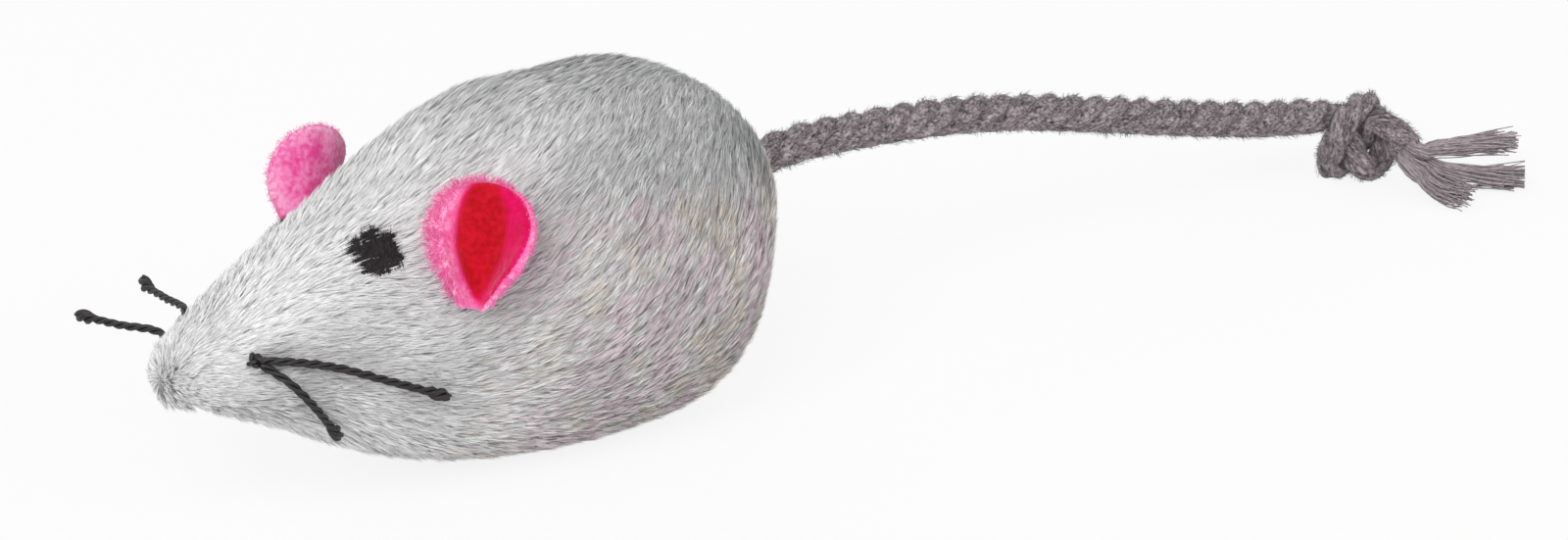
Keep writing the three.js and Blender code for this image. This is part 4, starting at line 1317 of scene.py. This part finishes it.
def felt_grid():
    """The felt laid flat: its corners, how far through it each lies, from -1 at the back to 1 at the front,
    their gaps to its edge, and how many rings they make"""
    outline, middle = ear_outline(), np.array([0, EAR_WIDEST_HEIGHT])
    past_rim = np.clip((EAR_RING_SHARES - EAR_RIM_SHARE) / (1 - EAR_RIM_SHARE), 0, 1)
    bulge = np.sqrt(np.clip(1 - past_rim ** 2, 0.02, 1))
    back = list(zip(EAR_RING_SHARES, -bulge))
    rings = back + [(share, -depth) for share, depth in back[-2::-1]]
    flat = np.vstack([middle, *(middle + (outline - middle) * share for share, _ in rings), middle])
    through = np.concatenate([[-1], *(np.full(EAR_CORNERS, depth) for _, depth in rings), [1]])
    reach = np.linalg.norm(outline - middle, axis=1)
    gap = np.concatenate([[reach.min()], *(reach * (1 - share) for share, _ in rings), [reach.min()]])
    return flat, through, gap, len(rings)


def felt_faces(rings, hand):
    faces, last = [], rings * EAR_CORNERS + 1
    for step in range(EAR_CORNERS):
        after = (step + 1) % EAR_CORNERS
        faces.append((0, 1 + after, 1 + step))
        faces.append((last, last - EAR_CORNERS + step, last - EAR_CORNERS + after))
        for ring in range(rings - 1):
            low, high = 1 + ring * EAR_CORNERS, 1 + (ring + 1) * EAR_CORNERS
            faces.append((low + step, low + after, high + after, high + step))
    return faces if hand > 0 else [face[::-1] for face in faces]


def felt_core(x, y, gap, through):
    """How far inside the red middle of the ear's front, its painted shade, each corner lies, in millimetres
    """
    bend = np.where(y < CORE_WIDEST, *CORE_BENDS)
    left_edge = CORE_LEFT + bend * (y - CORE_WIDEST) ** 2
    rim_width = CORE_RIM + RIM_WIDENING * fading(x, *FELT_SPANS["rim widens"])
    reaches = np.stack([x - left_edge, gap - rim_width, y - CORE_TIP])
    core = -CORE_ROUNDING * np.log(np.exp(-reaches / CORE_ROUNDING).sum(axis=0))
    return np.where(through > 0, core, -CORE_WIDEST)


def felt_relief(flat, through, gap, core, seed):
    """How far the felt is raised: in a lip at the left of its red middle, and in dents all over"""
    patches = soft_noise(np.column_stack([flat, through * MM]), FELT_DENT_SIZE, seed)
    lip = (through > 0) * smoothstep(gap, *FELT_SPANS["lip ends at edge"])
    lip = lip * fading(core, *FELT_SPANS["lip ends in middle"])
    lip = lip * fading(flat[:, 0] / MM, *FELT_SPANS["lip ends across"])
    return FELT_LIP * lip + FELT_DENT_DEPTH * (patches - 0.5)


def felt_fibre_fields(x, y, gap, core, through):
    """How thick the loose fibres are on the felt and how long, with the most at its edge"""
    near_edge = fading(gap, *FELT_SPANS["fuzzy edge"])
    front = 0.2 + 0.8 * (through > 0)
    off_core = np.maximum(fading(core, *FELT_SPANS["bare middle"]), fading(gap, *FELT_SPANS["outer edge"]))
    cover = (0.3 * front + 0.6 * near_edge) * smoothstep(y, *FELT_SPANS["bare base"]) * off_core
    return cover, 0.35 + 0.65 * near_edge * fading(x, *FELT_SPANS["long fuzz ends"])


def make_ear(side_name, hand):
    pose = EARS[side_name]
    flat, through, gap, rings = felt_grid()
    x, y, gap = flat[:, 0] / MM, flat[:, 1] / MM, gap / MM
    core = felt_core(x, y, gap, through)
    # How far the painted shade stays crimson, short of the magenta painted light of the cup's lit inside
    crimson = CRIMSON_RIGHT - CRIMSON_BEND * (y - CORE_WIDEST) ** 2 - x
    edge = gap + PALE_RIM * smoothstep(x, *FELT_SPANS["pale rim ends"]) * (through > 0)
    widening = np.minimum(3 * flat[:, 1] / EAR_HEIGHT, 1)
    half = (EAR_BASE_THICKNESS + (EAR_THICKNESS - EAR_BASE_THICKNESS) * widening) / 2
    raised = felt_relief(flat, through, gap, core, FELT_SEED + hand)
    axes, root = ear_frame(pose)
    corners = rolled_felt(pose, flat[:, 0], flat[:, 1], through * half + raised)
    corners = (corners @ axes.T + root) * [1, hand, 1]
    name = "ear_felt_" + side_name
    mesh = mesh_of(name, corners, felt_faces(rings, hand), core=core, crimson=crimson, edge=edge)
    mesh.materials.append(felt)
    ear = object_of(name, mesh)

    away = unit(np.column_stack([flat - flat[0], 0 * x]))
    lay = unit(away @ axes.T) * [1, hand, 1]
    cover, length = felt_fibre_fields(x, y, gap, core, through)
    cover_share, length_share = EAR_FUZZ_SHARES[side_name]
    surface = fuzz_surface(mesh, lay, cover_share * cover, length_share * length, tone=0.5)
    body = "ear_" + side_name + "_flap"
    grow_fuzz("ear_fuzz_" + side_name, surface, body, "felt", felt_fuzz)
    dress(ear, body, "felt", "ear_" + side_name)


# Eyes

def eye_strand(picks, across, up, half_length, half_width, turn):
    """One yarn fibre of a clump: its places across and up the eye, its height and its radii"""
    steps = np.linspace(-1, 1, EYE_STRAND_STEPS)
    aside = picks.uniform(-1, 1)
    chord = half_length * math.sqrt(1 - 0.8 * aside ** 2) * picks.uniform(0.6, 1.08)
    run = steps * chord + picks.normal(0, 0.06)
    sway = half_width * aside * (1 + 0.15 * steps) + 0.05 * np.sin(3 * steps + picks.uniform(0, 6))
    x = (across + run * math.cos(turn) - sway * math.sin(turn)) * EYE_DIAMETER / 2
    y = (up + run * math.sin(turn) + sway * math.cos(turn)) * EYE_DIAMETER / 2
    dome = np.sqrt(1 - 0.9 * (0.5 * aside ** 2 + 0.5 * steps ** 2))
    height = (EYE_DEPTH + EYE_PROUD) * dome * math.sqrt(picks.uniform(0, 1)) - EYE_DEPTH
    drop = (x ** 2 + y ** 2) / EYE_CURVE_DIAMETER
    radii = EYE_STRAND_DIAMETER / 2 * (1 - 0.6 * steps ** 4) * picks.uniform(0.6, 1.1)
    return x[:, None], y[:, None], (height - drop)[:, None], radii


def make_eye(side_name, hand):
    place, out = over_pile(EYE_BEHIND_NOSE, EYE_ANGLES[side_name], 0)
    rearward = unit(np.array([1.0, 0, 0]) - out * out[0])
    upward = np.cross(out, rearward)
    picks = np.random.default_rng(SEED + 20)
    strands = []
    for across, up, half_length, half_width, lean in EYE_CLUMP_SHARES:
        for _ in range(int(EYE_STRAND_COUNT * half_width)):
            x, y, height, radii = eye_strand(picks, across, up, half_length, half_width, math.radians(lean))
            points = place + rearward * x + upward * y + out * height
            strands.append((points * [1, hand, 1], radii))
    eye = thread("eye_stitches_" + side_name, "yarn", strands, yarn)
    lay = unit(0.5 * rearward + upward) * [1, hand, 1]
    grow_fuzz("eye_fuzz_" + side_name, fuzz_surface(eye.data, lay), "mouse", "yarn", yarn_fuzz)
    dress(eye, "mouse", "yarn", "eye_" + side_name)


# Whiskers

def whisker_routes(roots):
    """Each whisker's side and the places that it runs through, as on the left side"""
    for name, (behind, angles) in LYING_WHISKERS.items():
        yield name, "left", [over_pile(d * MM, a, LYING_HEIGHT)[0] for d, a in zip(behind, angles)]
    for name, route in FREE_WHISKERS.items():
        root, _ = roots["right"]
        yield name, "right", [root + np.array([back, -away, up]) * MM for back, away, up in route]


def make_whisker(name, root, points, hand):
    start = root + unit(points[0] - root) * WHISKER_KNOT_DIAMETER * WHISKER_START_SHARE
    path = evenly(curve_through([start, *points]), WHISKER_STEPS)
    left = walked_along(path)[-1] - walked_along(path)
    half_tip = WHISKER_TIP_LENGTH / 2
    swell = 1 - np.minimum(np.abs(left - half_tip) / half_tip, 1) ** 2
    closing = 0.75 + 0.25 * smoothstep(left, 0, WHISKER_TIP_ROUNDING)
    radii = (WHISKER_DIAMETER + (WHISKER_TIP_DIAMETER - WHISKER_DIAMETER) * swell) / 2 * closing
    made = thread(name + "_thread", "whisker", [(path * [1, hand, 1], radii)], waxed)
    dress(made, "mouse", "waxed_thread", name)


def make_whisker_knot(name, root, out, hand):
    """A thread wound along a trefoil into a ball"""
    turn = np.linspace(0, math.tau, WHISKER_KNOT_STEPS)
    ball = WHISKER_KNOT_DIAMETER / 2 - WHISKER_DIAMETER / 2
    x = (np.sin(turn) + 2 * np.sin(2 * turn)) / 3
    y = (np.cos(turn) - 2 * np.cos(2 * turn)) / 3
    wound = np.column_stack([x, y, -np.sin(3 * turn) * WHISKER_KNOT_FLATTENED]) * ball
    aside = unit(np.cross(out, (0, 0, 1)))
    axes = np.column_stack([aside, np.cross(out, aside), out])
    path = (wound @ axes.T + root) * [1, hand, 1]
    made = thread(name + "_thread", "whisker knot", [(path, WHISKER_DIAMETER / 2)], waxed)
    dress(made, "mouse", "waxed_thread", name)


def make_whiskers():
    roots = {side: over_pile(WHISKER_BEHIND_NOSE, angle, 0) for side, angle in WHISKER_ANGLES.items()}
    for name, side_name, points in whisker_routes(roots):
        make_whisker(name, roots[side_name][0], points, SIDES[side_name])
    for side_name, (root, out) in roots.items():
        make_whisker_knot("whisker_knot_" + side_name, root, out, SIDES[side_name])


# CAD nodes that stay get their own finishes

def dress_inner_nodes():
    for node_name, material in INNER_FINISHES.items():
        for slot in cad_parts[node_name].material_slots:
            slot.material = material


# Floor, world and lamps

def seen_rays(wire):
    """One for rays from the camera or from gloss and glass, so that these see a white background"""
    rays = wire.add("ShaderNodeLightPath").outputs
    either = wire.number("MAXIMUM", rays["Is Camera Ray"], rays["Is Glossy Ray"])
    return wire.number("MAXIMUM", either, rays["Is Transmission Ray"])


def make_floor():
    corners = [[x * FLOOR_REACH, y * FLOOR_REACH, 0] for x, y in ((-1, -1), (1, -1), (1, 1), (-1, 1))]
    mesh = mesh_of("floor", corners, [(0, 1, 2, 3)])
    floor = object_of("floor", mesh)
    material = bpy.data.materials.new("floor paper")
    material.use_nodes = True
    wire = Wiring(material.node_tree)
    shader = material.node_tree.nodes["Principled BSDF"]
    shader.inputs["Base Color"].default_value = (*[FLOOR_GREY] * 3, 1)
    shader.inputs["Roughness"].default_value = FLOOR_ROUGHNESS
    glow = wire.first("ShaderNodeEmission", {"Color": (1, 1, 1, 1), "Strength": 1.0})
    share = wire.times(seen_rays(wire), FLOOR_GLOW)
    mix = wire.first("ShaderNodeMixShader", {0: share, 1: shader.outputs[0], 2: glow})
    wire.tree.links.new(mix, material.node_tree.nodes["Material Output"].inputs["Surface"])
    mesh.materials.append(material)


def make_world():
    world = bpy.data.worlds.new("studio")
    bpy.context.scene.world = world
    world.use_nodes = True
    wire = Wiring(world.node_tree)
    background = world.node_tree.nodes["Background"]
    strength = wire.first("ShaderNodeMapRange", {0: seen_rays(wire), 3: WORLD_STRENGTH, 4: 1.0})
    wire.tree.links.new(strength, background.inputs["Strength"])
    background.inputs["Color"].default_value = (1, 1, 1, 1)


def make_lamps():
    for name, (size, power, place) in LAMPS.items():
        lamp = object_of(name, bpy.data.lights.new(name, "AREA"))
        lamp.data.size = size
        lamp.data.energy = power
        lamp.location = place
        lamp.rotation_euler = (Vector(place) - LAMPS_AIM).to_track_quat("Z", "Y").to_euler()


bpy.context.scene.view_settings.view_transform = "Standard"
make_camera()
make_tail()
make_body()
for side_name, hand in SIDES.items():
    make_ear(side_name, hand)
    make_eye(side_name, hand)
make_whiskers()
dress_inner_nodes()
make_floor()
make_world()
make_lamps()
